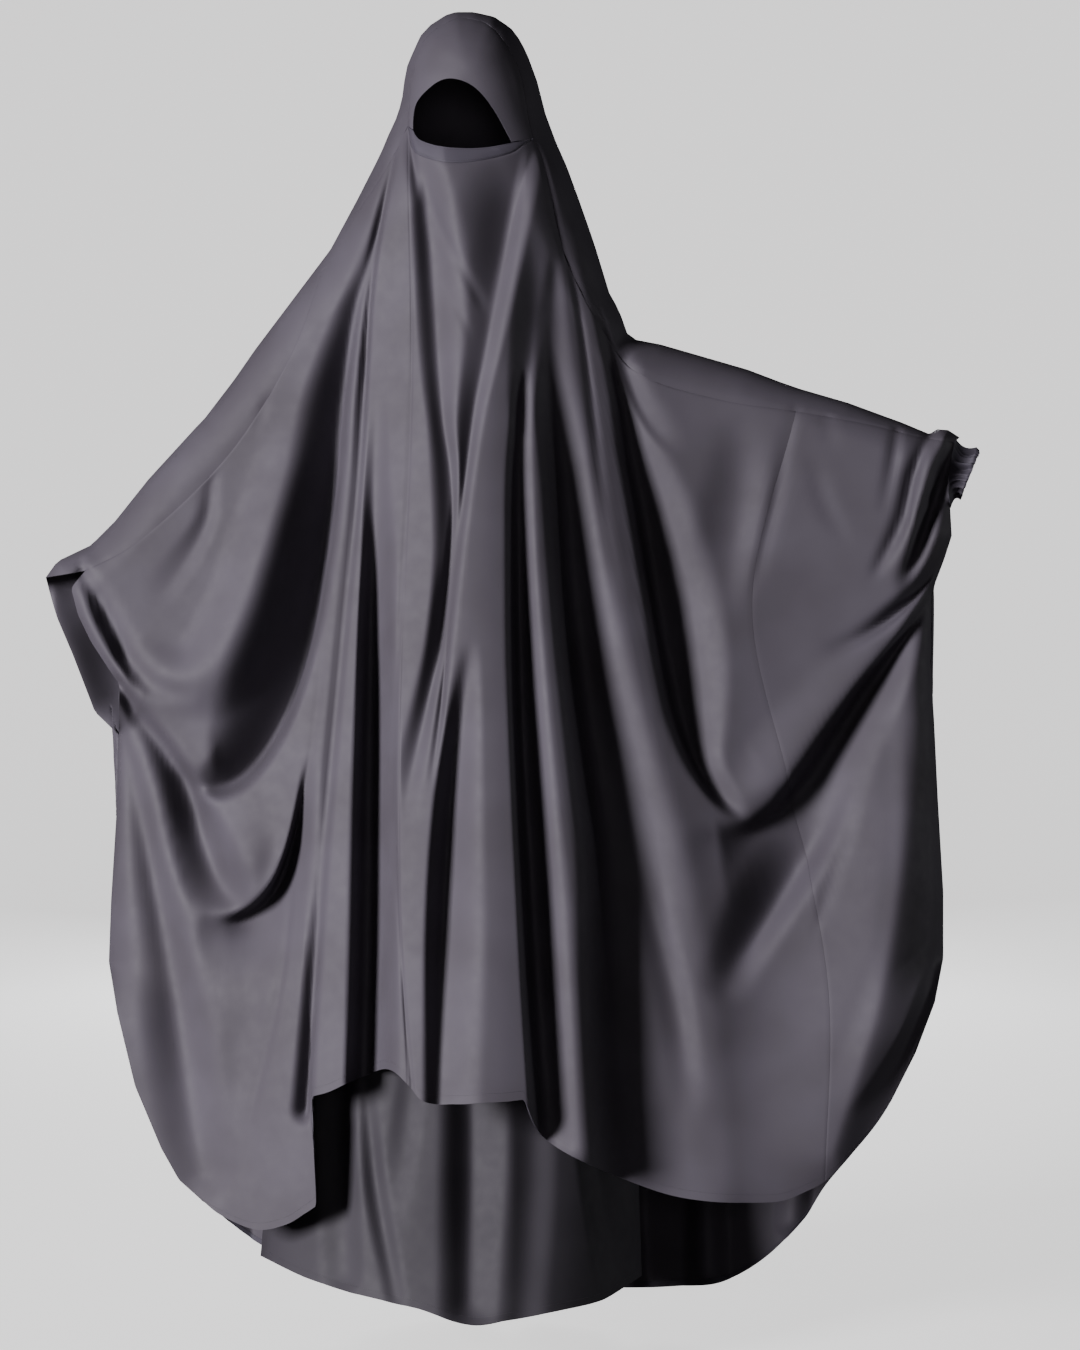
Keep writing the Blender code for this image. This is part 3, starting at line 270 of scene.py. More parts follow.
# %% Folds of the left wing
LEFT_WING_FOLDS = (
    # the valley beside the first ridge, which turns at its foot into the upper swag
    (((-8.6, 14.5, 0.8, 0.6, 0.3), (-11, 25, 1.4, 0.8, 0.9), (-14.2, 37, 2.6, 1, 2),
      (-16.4, 50, 5.5, 1.3, 5.8), (-17.4, 60, 6.6, 1.4, 7.6), (-18.8, 70, 8.2, 1.5, 9),
      (-20.6, 80, 10, 1.6, 10), (-23, 88.5, 10.2, 1.7, 9.8), (-26.4, 95.6, 8.8, 1.8, 7.8),
      (-30.4, 100, 6.6, 1.8, 5), (-34.6, 100.8, 4.4, 1.6, 2), (-38.5, 98.5, 2.6, 1.2, 0)), 0.6, 1.3),
    # fullness of the bag of cloth over the upper swag
    (((-44.5, 82.5, 4.5, 4, 0), (-39.5, 86, 6, 4.6, -1.7), (-34, 85.5, 7, 5.6, -2.6),
      (-29, 78, 7.5, 6, -2.4), (-25.6, 66, 6.5, 5.2, -1.7), (-22.6, 54, 5, 4, 0)), 0, 1.8),
    # lower swags
    (((-46, 86.5, 1, 1, 0.3), (-42.8, 91.5, 3.2, 1.3, 3), (-39.2, 96.4, 4.6, 1.4, 4.8),
      (-36.6, 101.6, 5.2, 2.4, 5.8), (-35, 107.5, 5.6, 4.6, 5.4), (-32.8, 112.8, 5.4, 5, 4.2),
      (-29.6, 116.2, 4, 4, 1.4), (-26.5, 116.5, 2.4, 2.4, 0)), 0.6, 1.4),
    (((-20.8, 97, 1, 1.6, 0), (-21.6, 104, 1.2, 2.8, 2.2), (-22.8, 109.6, 1.3, 4.4, 4.8),
      (-24.8, 114.4, 1.4, 6.4, 5.8), (-28, 117.6, 1.6, 10.5, 5.4), (-31.6, 118.6, 1.6, 10.5, 2.2),
      (-35, 117.5, 1.2, 4, 0)), -0.6, 1.4),
    (((-28.8, 104, 4, 4, 0), (-29, 110, 4.5, 4, -1.3), (-30, 115, 4, 3, 0)), 0, 2),
    # side folds of the wing
    (((-46.6, 89, 1, 1, 0.2), (-44, 97, 2.6, 2, 2.4), (-42.2, 106, 3.8, 2.8, 3.6),
      (-40.2, 116, 4.6, 3.4, 3.8), (-38.2, 127, 5.4, 4.4, 3.4), (-36.4, 139, 5.8, 5, 2.6),
      (-34.6, 151, 5.4, 5, 1.6)), 0.2, 1.5),
    (((-27, 124, 3, 3, 0), (-28.5, 134, 4.5, 4.5, 0.7), (-31, 150, 5, 5, 0.6)), 0, 2),
    # behind the turned lip, and the fold that hangs from it
    (((-50.4, 71.4, 0.7, 0.8, 0.6), (-49.7, 74, 0.9, 1.3, 1.7), (-47.9, 77.4, 1, 1.7, 2.3),
      (-46.1, 81, 1.1, 2, 2.2), (-44.4, 84.4, 1.2, 2.4, 1.8), (-40.8, 88, 1.3, 2.6, 1.1),
      (-35.4, 89.4, 1, 2, 0)), 0.2, 1.5),
    (((-50.6, 73, 1.2, 1.2, 0.8), (-51.6, 75.2, 1.2, 1.2, 1.2), (-50.8, 78.4, 1.3, 1.3, 1.3),
      (-49.1, 81.9, 1.3, 1.3, 1.3), (-45.5, 87.4, 1.2, 1.2, 0.8)), 0, 1.3),
    (((-49.3, 74.2, 1, 0.9, -0.3), (-49.5, 77.6, 1.4, 1.2, -0.8), (-47.8, 81.6, 1.5, 1.2, -0.9),
      (-45, 86, 1.4, 1.1, -0.7), (-41.5, 90.5, 1, 1, 0)), 0, 1.8),
    # sharp creases
    (((-44.8, 88.8, 0.5, 0.6, 0), (-42.4, 96.5, 0.7, 0.9, 0.5), (-40.2, 103.6, 0.7, 0.9, 0.6),
      (-38, 110, 0.7, 0.9, 0.5), (-35.4, 118.6, 0.5, 0.6, 0)), 0.2, 1.2),
    (((-22.4, 112.5, 0.6, 0.7, 0), (-23.6, 121, 0.6, 0.8, 0.35), (-25.2, 130, 0.6, 0.8, 0.45),
      (-27.3, 139, 0.6, 0.8, 0.4), (-29, 146.5, 0.6, 0.7, 0)), 0.1, 1.2),
    (((-18.7, 76.8, 0.6, 0.6, 0), (-19.4, 88, 0.6, 0.7, 0.35), (-21, 101, 0.6, 0.7, 0)), 0, 1.4),
    # creases that run down from the arm seam
    (((-26.3, 50, 0.9, 0.8, 0.3), (-27.4, 55.6, 0.8, 0.8, 0)), 0, 1.6),
    (((-33.3, 61, 1, 0.9, 0.5), (-34, 66.5, 2, 1.4, 0.8), (-37.4, 72.5, 3, 2, 0.5),
      (-41, 77, 3, 2, 0)), 0, 1.6),
)
print("folds on the left wing:", len(LEFT_WING_FOLDS))

# %% Folds of the middle of the front
MIDDLE_FOLDS = (
    # right edge of the first ridge, then the left edge of the flap
    (((-9.4, 17.5, 0.8, 0.6, 0.4), (-11.2, 26, 1.1, 0.7, 1.2), (-12.8, 36, 1.3, 0.8, 1.9),
      (-13.5, 47, 1.3, 0.8, 2), (-14.4, 62, 1.2, 0.8, 1.2), (-15.9, 77, 1.2, 0.8, 1.1),
      (-17.4, 93, 1.4, 0.9, 1.2), (-18.9, 110, 1.6, 1, 1.5), (-20.1, 126, 1.8, 1, 2),
      (-21.3, 143, 2.2, 1.2, 2.8)), 0.3, 1.3),
    # second groove
    (((-11.6, 52, 1.4, 1.4, 0.2), (-12, 61, 1.7, 2.2, 1.2), (-12.2, 70, 1.8, 3, 2.8),
      (-12.7, 80, 1.7, 3.6, 4.6), (-13, 92, 1.7, 4.2, 6.2), (-13.2, 106, 1.9, 4.6, 6.6),
      (-13.4, 124, 2.1, 4.8, 6.8), (-13.9, 145, 2.3, 5, 6.8)), 0.2, 2),
    # third groove, from the temple down under the drape's edge
    (((-7.1, 17.6, 0.8, 0.8, 0.1), (-5.9, 22, 1.8, 3.6, 1.2), (-5, 30, 2.4, 5, 2.1),
      (-4.4, 38, 2.7, 4.8, 2.4), (-3.9, 46, 2.6, 3.4, 2.3), (-3.3, 53, 2.3, 2, 2.1),
      (-2.4, 59, 2.8, 1.3, 2.4), (-2.2, 65, 2.7, 1.1, 2.1), (-2.6, 71, 2.2, 1.1, 1.6), (-3.2, 77, 2, 1, 2),
      (-4, 83.5, 2.1, 1.1, 2.1), (-5.2, 89.5, 2.3, 1.4, 1.9), (-6.6, 95.5, 2.4, 1.9, 1.4),
      (-7.8, 101, 2, 2, 0.6), (-8.4, 106, 1.6, 1.6, 0)), 0.1, 1.6),
    # the veil turns back into the left edge of the right drape
    (((8.7, 17.8, 1.6, 0.8, 0), (7.4, 20.6, 6.5, 2.4, 1.2), (5.7, 26.5, 8.5, 2.8, 2.1),
      (4.6, 32, 8, 2.8, 2.2), (3.2, 39, 6.4, 2.6, 1.9), (2, 45, 4.8, 2.2, 1.8), (0.9, 51, 3.4, 1.6, 2),
      (0.1, 57, 2.6, 1.2, 1.9), (-0.6, 63, 1.9, 0.9, 1.9), (-1.5, 70, 1.7, 0.8, 1.8),
      (-2.3, 77, 1.5, 0.8, 1.8), (-2.9, 83, 1.4, 0.8, 1.6), (-3.6, 91, 1.3, 0.8, 1),
      (-4.9, 101, 1.2, 0.7, 0)), 0.1, 1.4),
    (((7.8, 17.5, 1, 6, 0), (7.2, 25, 2, 7, -0.9), (6.2, 32, 2.4, 6.6, -1.2), (4.8, 39, 2.4, 5.6, -0.9),
      (3.6, 46, 2, 4.6, 0)), 0, 1.5),
    # the crease between hood and forehead piece runs down past the band's left end
    (((-8.5, 6.5, 0.9, 0.5, 0), (-8.5, 10.5, 1.2, 0.6, 0.7), (-8.1, 14.2, 1.4, 0.7, 1.1),
      (-7.6, 17.4, 1.5, 0.8, 1.3), (-7.1, 20.6, 1.4, 0.9, 1), (-6.6, 24.5, 1.2, 0.9, 0)), 0.2, 1.5),
    (((-3.4, 15, 3, 9, -0.6), (-2.6, 22, 3.6, 9, -1.5), (-1.4, 30, 3.4, 7, -1),
      (0.4, 38, 2.6, 4, 0)), 0, 1.6),
    # fullness of the hood beside the opening, down to the shoulder
    (((9.6, 14, 2.6, 1, 0), (12.1, 21.5, 2.8, 1.2, -1.2), (14.1, 27.5, 3, 1.4, -1.6),
      (16.2, 33.5, 3.2, 1.6, -1.7), (18.2, 39.5, 3.2, 1.8, -1.2), (19.8, 46, 3, 2, 0)), 0, 1.5),
    (((5.6, 3.2, 1.6, 0.8, 0), (7.9, 7.2, 2.2, 0.9, -0.7), (9, 11.4, 2.4, 0.9, -0.8),
      (10.2, 15.6, 2.4, 1, 0)), 0, 1.5),
    # the drape's soft side and the hood's folds beside the opening
    (((8.3, 28, 1.6, 2, 0), (8.4, 36, 2.6, 2.4, 0.5), (8, 43, 2.8, 2.2, 0.8), (7.3, 49, 2.4, 1.8, 0.8),
      (6.9, 54, 1.6, 1.2, 0.3)), 0, 1.8),
    # fourth, fifth and seventh grooves
    (((0.3, 82, 1, 1.2, 0), (-0.9, 90, 1.8, 2.8, 1.8), (-2.2, 100, 2.2, 4.2, 3.2),
      (-3, 110, 2.4, 5.2, 3.8), (-3.5, 121, 2.4, 6, 3.6), (-3.8, 134, 2.2, 6, 2.6),
      (-4, 145, 2, 6, 2)), 0.2, 1.6),
    (((7.1, 47, 1.2, 1.2, 0.3), (6.8, 54, 1.6, 1.8, 1.3), (6.4, 61, 1.6, 2.4, 2.1),
      (6.4, 72, 1.5, 2.8, 3.2), (6.6, 85, 1.5, 3.6, 4.6), (7.1, 99, 1.5, 4.4, 5.6),
      (7.9, 113, 1.7, 5, 5.8), (8.8, 128, 1.9, 5.2, 5.4), (10.2, 147, 2.2, 5.2, 4.4)), 0.2, 1.8),
    (((11.2, 33, 1.2, 1.2, 0.2), (10.8, 41, 2.2, 2.6, 0.9), (11, 50, 2.6, 3.8, 1.9),
      (12, 60, 2.6, 4.6, 3.4), (12.8, 70, 2.6, 5.6, 5), (13.7, 80, 2.6, 6.6, 6.3),
      (14.9, 90, 2.7, 7.6, 7.2), (16.3, 100, 2.9, 9.6, 7.4), (17.5, 110, 3.1, 11.6, 7.2),
      (18, 122, 3.4, 13.6, 6.6), (18.6, 136, 3.8, 15, 6), (20, 153, 4.2, 15, 5.4)), 0.2, 1.8),
    # fine lines: the veil's creases, the panel's seam, and the creases down the drape
    (((-6.2, 20, 0.6, 0.6, 0), (-4, 27, 0.9, 0.7, 0.35), (-1.4, 32.2, 0.9, 0.7, 0.4),
      (1.2, 36.8, 0.9, 0.7, 0.35), (2.6, 39, 0.7, 0.6, 0)), 0, 1.4),
    (((-3.6, 34.8, 0.7, 0.7, 0), (-1.4, 38.6, 0.8, 0.8, 0.3), (0.6, 42.6, 0.8, 0.8, 0)), 0, 1.5),
    (((-7.2, 30, 0.4, 0.4, 0), (-7.4, 46, 0.45, 0.45, 0.2), (-7.9, 62, 0.45, 0.45, 0.22),
      (-8.7, 76, 0.45, 0.45, 0.22), (-9.4, 89, 0.5, 0.6, 0.3), (-9.9, 101, 0.6, 0.7, 0.4),
      (-9.4, 112, 0.5, 0.6, 0.35), (-8.6, 125, 0.45, 0.5, 0.3), (-7.2, 141, 0.4, 0.5, 0.3)), 0, 1.3),
    (((8.7, 16.5, 0.6, 0.6, 0.1), (9.9, 20.5, 0.6, 0.7, 0.35), (11.2, 26.5, 0.6, 0.7, 0.35),
      (12.4, 31.6, 0.6, 0.6, 0.1)), 0, 1.3),
    (((13.1, 31.5, 0.7, 0.6, 0.1), (14.6, 40, 0.8, 0.7, 0.45), (16.2, 52, 0.9, 0.7, 0.6),
      (17.6, 65, 0.9, 0.7, 0.6), (19.4, 77, 0.9, 0.7, 0.5), (21, 89, 0.8, 0.7, 0.35),
      (22.8, 100, 0.7, 0.6, 0)), 0.15, 1.3),
)
print("folds in the middle of the front:", len(MIDDLE_FOLDS))

# %% Folds of the right wing
RIGHT_WING_FOLDS = (
    # ninth groove, from the shoulder down to the foot of the upper swag
    (((15.2, 32.5, 0.8, 1.2, 0.3), (17.8, 42, 0.9, 2, 1.1), (19.8, 50, 1.1, 3.4, 2.2),
      (21.2, 58, 1.2, 5.2, 3.5), (22.8, 66, 1.2, 7.2, 5), (24.4, 75, 1.3, 8.6, 6.2),
      (26, 84, 1.4, 8.4, 6.2), (27.8, 92, 1.5, 6.6, 5.2), (30.2, 98.2, 1.5, 3.6, 3),
      (33, 102.2, 1.4, 2.6, 1.6), (35.8, 104.6, 1.2, 1.6, 0.2)), -0.6, 1.5),
    # the bag of cloth over the swag, and the dark fold under it from the wrist
    (((56, 79, 3, 2, 0), (50, 87, 5, 2.4, -0.9), (45, 94, 6.5, 2.8, -1.4), (40, 100, 7, 3.2, -1.4),
      (34.5, 102, 6, 3, 0)), 0, 1.8),
    (((61.6, 72.6, 0.9, 1.4, 0.4), (59.4, 77.4, 1, 2.6, 1.8), (55.6, 83, 1.2, 4, 3.4),
      (51.4, 88.8, 1.4, 5.4, 4.4), (47.6, 94.6, 1.6, 6.8, 5), (44.2, 99.8, 1.8, 8.4, 5),
      (40.8, 104, 2, 10.5, 4.4), (36.8, 106.6, 2.2, 12, 3), (32.6, 107.2, 2.2, 10, 0.6)), -0.4, 1.35),
    (((48.6, 101, 3, 2, 0.4), (45.6, 107, 5.6, 2.8, 2.2), (41.6, 113, 6.4, 3.4, 3.4),
      (37.6, 119, 6, 3.6, 3), (33.6, 126, 4, 3.6, 0.8)), 0.4, 1.5),
    # folds at the wrist: roll of cloth, and the dark folds beside and under it
    (((61.8, 54.4, 1.3, 1.2, -0.9), (60.2, 58.8, 1.7, 1.3, -1.5), (59, 63.4, 1.8, 1.3, -1.5),
      (57.6, 68.3, 1.8, 1.3, -1), (54.6, 74, 1.7, 1.2, 0)), 0, 2.2),
    (((60, 55, 1.4, 0.5, 0.6), (58, 60.4, 1.9, 0.5, 1.8), (56.6, 66.6, 1.9, 0.5, 1.6),
      (52.8, 73.6, 1.6, 0.6, 0)), 0.2, 1.2),
    (((63, 56.4, 1.2, 1.4, 1.2), (61.6, 60.6, 1.7, 2, 2.8), (59.8, 66, 1.8, 1.7, 3.2),
      (58.4, 70.5, 1.5, 1.4, 2), (56.6, 74.5, 1.2, 1.2, 0.2)), 0, 1.7),
    (((62.6, 69, 1, 1, 0.9), (59.2, 74.4, 1.6, 1.1, 2.2), (55, 78.6, 1.8, 1, 2.4),
      (50.8, 81.6, 1.8, 1, 0.9), (46.5, 83.5, 2, 1.6, 0)), 0.3, 1.4),
    # shoulder and arm creases
    (((19.6, 42, 1, 1.2, 0.5), (21.2, 47.6, 1.4, 1.8, 1), (24, 53.4, 1.6, 2.4, 0.9),
      (27, 57.6, 1.6, 2.4, 0)), -0.2, 1.6),
    (((35, 52, 3, 3, 0), (35.4, 60, 5, 4, 0.9), (34, 69, 6, 4, 1.1), (31.8, 79, 5, 4, 0)), 0, 2),
    (((42.7, 51.6, 1.4, 0.7, 0.2), (41, 59, 1.6, 0.7, 0.5), (39, 67.6, 1.4, 0.7, 0.5),
      (36.6, 77, 1, 0.7, 0)), 0, 1.3),
    (((46.6, 52.8, 0.7, 0.8, 0.5), (47.4, 58, 0.8, 0.8, 0)), 0, 1.6),
    (((45, 57.5, 1, 0.8, 0), (46.2, 63, 1.2, 0.8, 0.5), (49.6, 70, 1, 0.8, 0)), 0, 1.5),
    (((55.8, 54.4, 1, 1, 0.8), (55.2, 59, 1.2, 1, 0.6), (53.8, 65.5, 1, 1, 0)), 0, 1.6),
    (((57, 62, 0.8, 0.6, 0), (55.2, 68, 1, 0.6, 0.35), (52, 75, 0.8, 0.6, 0)), 0, 1.4),
    # creases low on the wing
    (((51, 101.5, 0.9, 0.8, 0), (49, 108, 1.2, 0.9, 0.6), (46.8, 114.5, 1.2, 0.9, 0.4),
      (44.8, 120.5, 0.9, 0.8, 0)), 0, 1.5),
    (((60.2, 120.1, 0.8, 0.8, 0.3), (55.4, 125.2, 0.8, 0.8, 0)), 0, 1.6),
    (((61, 122.8, 0.8, 0.8, 0.3), (56.6, 132, 0.8, 0.8, 0)), 0, 1.6),
    (((21.4, 106, 2, 2, 0), (24.4, 118, 2.8, 2.2, 1), (27.4, 131, 3.2, 2.6, 0.9),
      (29, 144, 3, 3, 0)), 0, 1.7),
    # the outer wing swings forward towards its hem
    (((56.5, 92, 10, 4.5, 0), (56.5, 108, 14, 5, -2.4), (53.5, 128, 18, 6, -3.8),
      (47.5, 148, 17, 6, -3)), 0, 1.5),
    (((58.8, 77, 4, 1.4, 0), (59.6, 87, 5.6, 1.4, -1.8), (60.2, 101, 6, 1.4, -2.4),
      (60.4, 113, 6.5, 1.4, -2.6), (59.6, 123, 7, 1.5, -2.8), (57, 131, 7, 1.6, -2.2),
      (53, 138, 6, 1.8, -1), (49, 143, 5, 2, 0)), 0, 1.5),
)
FRONT_FOLDS = LEFT_WING_FOLDS + MIDDLE_FOLDS + RIGHT_WING_FOLDS
print("folds drawn on the front:", len(FRONT_FOLDS))

# %% [markdown]
# Folds of the back
#
# The back is not in the photograph. Long pleats fall from the shoulder blades, and a shallow swag hangs
# under each arm. They are drawn by the same stations as the front's, but calmer, so that the back is
# plain and still hangs like the same cloth.

# %% Folds of the back
BACK_FOLDS = (
    (((-6, 26, 1.8, 1.5, 0), (-9, 60, 3, 2.5, 2.6), (-13, 100, 3.6, 3, 3.8),
      (-16, 165, 4, 3.3, 4.6)), 0.15, 2),
    (((1, 28, 1.5, 1.8, 0), (2, 65, 2.5, 3, 2.8), (3, 105, 3, 3.6, 4.2), (5, 166, 3.3, 4, 5)), -0.15, 2),
    (((9, 34, 1.5, 1.7, 0), (13, 70, 2.5, 2.9, 2.6), (17, 110, 3, 3.5, 3.8),
      (20, 166, 3.3, 3.8, 4.6)), 0.15, 2),
    (((-14, 32, 2, 2, 0), (-22, 62, 5, 3.2, 2.6), (-29, 88, 6, 3.6, 3), (-36, 99, 5, 3.6, 1.8),
      (-43.5, 92, 3.4, 3.4, 0)), 0.5, 1.7),
    (((15, 40, 2, 2, 0), (22, 66, 3.6, 5, 2.6), (30, 92, 4.2, 6, 3.2), (38, 104, 4.4, 6, 2.4),
      (48, 98, 3.6, 5, 1.4), (57, 82, 3, 3, 0)), -0.4, 1.7),
    (((-21, 80, 1.2, 1.4, 0), (-24, 110, 2.4, 2.8, 2.2), (-25.5, 161, 2.9, 3.4, 3.4)), 0.1, 1.9),
    (((29, 108, 1.6, 1.7, 0), (30.5, 130, 2.6, 2.8, 2), (31, 164, 3.1, 3.4, 3)), -0.1, 1.9),
    (((45, 104, 1.4, 1.4, 0), (46, 122, 2.4, 2.4, 1.8), (42, 157, 2.6, 2.6, 1.6)), 0, 2),
    (((-37, 106, 1.4, 1.4, 0), (-36, 128, 2.4, 2.4, 1.6), (-32, 155, 2.6, 2.6, 1.5)), 0, 2),
    (((-3.4, 15, 1.1, 1.1, 0), (-4.4, 24, 1.6, 1.6, 0.9), (-3.6, 36, 1.6, 1.6, 0)), 0, 2),
    (((3.6, 16, 1.1, 1.1, 0), (5.4, 26, 1.6, 1.6, 0.9), (5, 38, 1.6, 1.6, 0)), 0, 2),
    # the sleeve mouth's back edge comes forward round the wrist
    (((-54, 73.6, 2, 3, 0), (-53.4, 78.8, 2.6, 5.5, 2.6), (-51.4, 83.5, 2.8, 6, 3.2),
      (-48.9, 90, 2.6, 5, 2), (-46, 95, 2, 3, 0)), 0, 1.4),
    # fine creases off the shoulders and above the hem
    (((-12, 30, 0.8, 0.7, 0.1), (-15, 46, 0.9, 0.8, 0.5), (-18, 70, 0.9, 0.8, 0)), 0, 1.6),
    (((-27, 52, 1, 0.8, 0.1), (-30, 66, 1.2, 0.9, 0.6), (-34, 76, 1.2, 0.9, 0)), 0, 1.6),
    (((17, 44, 0.8, 0.7, 0.1), (20, 56, 0.9, 0.8, 0.5), (25, 74, 0.9, 0.8, 0)), 0, 1.6),
    (((46, 54, 1, 0.8, 0.1), (43, 66, 1.2, 0.9, 0.6), (40, 78, 1.2, 0.9, 0)), 0, 1.6),
    (((-30, 120, 0.7, 0.7, 0), (-30.6, 129, 0.9, 0.8, 0.5), (-31, 139, 0.8, 0.8, 0)), 0, 1.6),
    (((37, 122, 0.7, 0.7, 0), (37.6, 134, 0.9, 0.8, 0.5), (38, 147, 0.8, 0.8, 0)), 0, 1.6),
)
print("folds drawn on the back:", len(BACK_FOLDS))

# %% [markdown]
# Depth of a draped sheet
#
# Unfolded, the mantle is a body's bulge between two nearly flat wings, and it rolls off to nothing where
# front and back meet. Folds and small unevenness are taken from that depth. A loft through sections could
# give the bulge, but one function of across and drop lets neighbouring pieces share the very same drape.

# %% Unevenness of the cloth
# knots of the random field a side, and how many times longer its features are down the cloth
KNOTS, LONGER_DOWN = 64, 1.7


def uneven(across, drop, size, seed):
    """A smooth random field between -1 and 1 whose features are about `size` across."""
    knots = np.random.default_rng(seed).uniform(-1, 1, (KNOTS, KNOTS))
    u = (across + 90) / size % (KNOTS - 1)
    v = (drop + 20) / (LONGER_DOWN * size) % (KNOTS - 1)
    i, j = np.floor(u).astype(int), np.floor(v).astype(int)
    u, v = u - i, v - j
    u, v = u * u * (3 - 2 * u), v * v * (3 - 2 * v)
    return (
        knots[i, j] * (1 - u) * (1 - v) + knots[i + 1, j] * u * (1 - v)
        + knots[i, j + 1] * (1 - u) * v + knots[i + 1, j + 1] * u * v
    )


print("unevenness at the chest:", uneven(np.array([0.0]), np.array([60.0]), 11.0, 3).round(2))

# %% Depth of a draped sheet
# size, height and seed of each unevenness
RIPPLES = ((11.0, 0.12, 3), (5.0, 0.03, 8))


def draped(across, drop, sections, folds, facing):
    """Across, drop and depth of the mantle's cloth; facing is -1 for the front, 1 for the back."""
    body, spread, sheet, roll = columns_of(sections, drop)
    bulge = sheet + (body - sheet) * np.exp(-(((across - BULGE_MIDDLE) / spread) ** 2))
    share = np.clip(edge_distance(across, drop) / roll, 0.0, 1.0)
    rolled = np.sqrt(1 - (1 - share) ** 2)
    mouth_across, mouth_drop, reach, taken = WRIST_DRAW_IN
    from_mouth = (across - mouth_across) ** 2 + (drop - mouth_drop) ** 2
    rolled = rolled * (1 - taken * np.exp(-from_mouth / reach**2))
    fold, push_across, push_drop = drawn_folds(folds, across, drop)
    for size, height, seed in RIPPLES:
        fold = fold + height * uneven(across, drop, size, seed + (facing > 0))
    depth = facing * (bulge - fold) * rolled
    return across + push_across * rolled, drop + push_drop * rolled, depth


print("sheet depth at the chest, cm:",
      draped(np.array([0.0]), np.array([60.0]), FRONT_SECTIONS, FRONT_FOLDS, -1)[2].round(1))

# %% [markdown]
# Fall lines
#
# The warp of the cloth hangs from the shoulder seams to the hem. The grid's columns follow those fall
# lines, so its shading has no steps across a fold. An upright square grid would be simpler, but it would
# cut slantwise through every fold.

# %% Fall lines of the front
# each line: across and drop of its top, across at a quarter, a half and three quarters of the way,
# across and drop of its hem, and the columns up to the next line; both sides follow the outline
FRONT_FALLS = (
    (-49.9, 72.7, 0, 0, 0, -34.7, 154.4, 3), (-43, 68.9, -42.9, -42, -40, -32, 156.5, 3),
    (-34.3, 61.1, -36.1, -34.8, -32.5, -27.6, 158.3, 3),
    (-28.3, 53.7, -30.2, -29.6, -27.3, -23.8, 157.7, 2),
    (-22.7, 43.9, -25.1, -25.5, -23.7, -21.2, 156.2, 2),
    (-18.6, 32.9, -21.2, -22.9, -22.1, -19.7, 155.2, 2), (-16.9, 29.6, -16.9, -19.5, -21.3, -20.4, 141, 2),
    (-13.3, 24.4, -13.7, -15.7, -18.3, -18.1, 140.4, 2),
    (-11.4, 21.6, -12.2, -13.9, -15.1, -15.3, 139.1, 3), (-9.9, 19, -9.9, -10.3, -9.8, -10.7, 137.4, 2),
    (-7.9, 14.8, -7.3, -8.3, -9, -7.8, 139.5, 2), (-7.3, 17.9, -5.6, -6.6, -7.2, -6.2, 141.4, 2),
    (-4.7, 19.2, -4, -5.2, -5.7, -4.2, 142, 2), (-1.3, 19.6, -2.5, -3.9, -4.2, -2.1, 142, 2),
    (2.3, 19.2, -0.8, -3.1, -2.6, -0.3, 142, 2), (5.7, 18.3, 0.9, -2.3, -0.8, 1.8, 141.8, 2),
    (7.3, 17.2, 3.1, 1.3, 2.6, 4.6, 141.7, 3), (8.5, 16.5, 5.3, 5.3, 5.7, 7.3, 141.4, 3),
    (9.5, 18.5, 7.3, 7.7, 9, 10, 146.6, 2), (10.7, 23.5, 9.5, 10.9, 14.7, 17.3, 150.5, 3),
    (11.8, 28.9, 13.8, 17.1, 23, 25, 153.5, 3), (13.3, 33.5, 20.2, 27.7, 30.2, 30.9, 154.6, 2),
    (17.2, 40.8, 26, 31.2, 35.1, 36, 154.8, 2), (22.4, 47.1, 30.5, 34.9, 39.3, 40.7, 154.6, 2),
    (32.8, 50.4, 33.7, 38.6, 43.4, 43.8, 153.4, 2), (42.6, 51.9, 36.9, 42.1, 46.8, 46.4, 152, 3),
    (52, 53.6, 48.1, 50.3, 53.6, 49.7, 148.7, 3), (58.1, 55.1, 55.1, 56.2, 58.4, 55, 141.6, 5),
    (63.17, 56, 0, 0, 0, 60.7, 128.7, 0),
)
TEMPLE_LINE, VEIL_END_LINE, JOINING_LINE = 10, 17, 25
SEAM_CORNERS, HEM_CORNERS = (TEMPLE_LINE, VEIL_END_LINE), (5, 6, VEIL_END_LINE)
print("fall lines of the front:", len(FRONT_FALLS))

# %% Columns and rows of a grid
# how strongly columns crowd at the sides, and how near to a sewn crease they stand, in lines
SIDE_CROWDING, BESIDE_CREASE = 1.7, 0.06
# distances of the first rows from the seam, and of the last ones from the hem
SEAM_ROWS, HEM_ROWS = np.array((0.0, 0.12, 0.3, 0.6)), np.array((0.95, 0.8, 0.4, 0.0))


def column_places(counts, finer, creased):
    """Places along the lines, in line numbers: crowded at both sides and beside a sewn crease."""
    places = []
    for line, count in enumerate(counts):
        share = np.arange(count * finer) / (count * finer)
        if line == 0:
            share = share**SIDE_CROWDING
        if line == len(counts) - 1:
            share = 1 - (1 - share) ** SIDE_CROWDING
        places.append(line + share)
        places.append([line + BESIDE_CREASE] * (line in creased)
                      + [line + 1 - BESIDE_CREASE] * (line + 1 in creased))
    return np.unique(np.append(np.concatenate(places), len(counts)).round(4))


def row_places(count, length, growth=1.0):
    """Shares of the way from seam to hem, crowded at both for the seam and the turned hem."""
    middle = np.linspace(0, 1, count) ** growth
    first, last = SEAM_ROWS / length, 1 - HEM_ROWS / length
    return np.concatenate([first, first[-1] + (last[0] - first[-1]) * middle[1:-1], last])


print("rows of a sheet 100 cm long:", (100 * row_places(5, 100.0)).round(1))

# %% Grid of the front
# each column of the table is divided into this many
FINER = 4


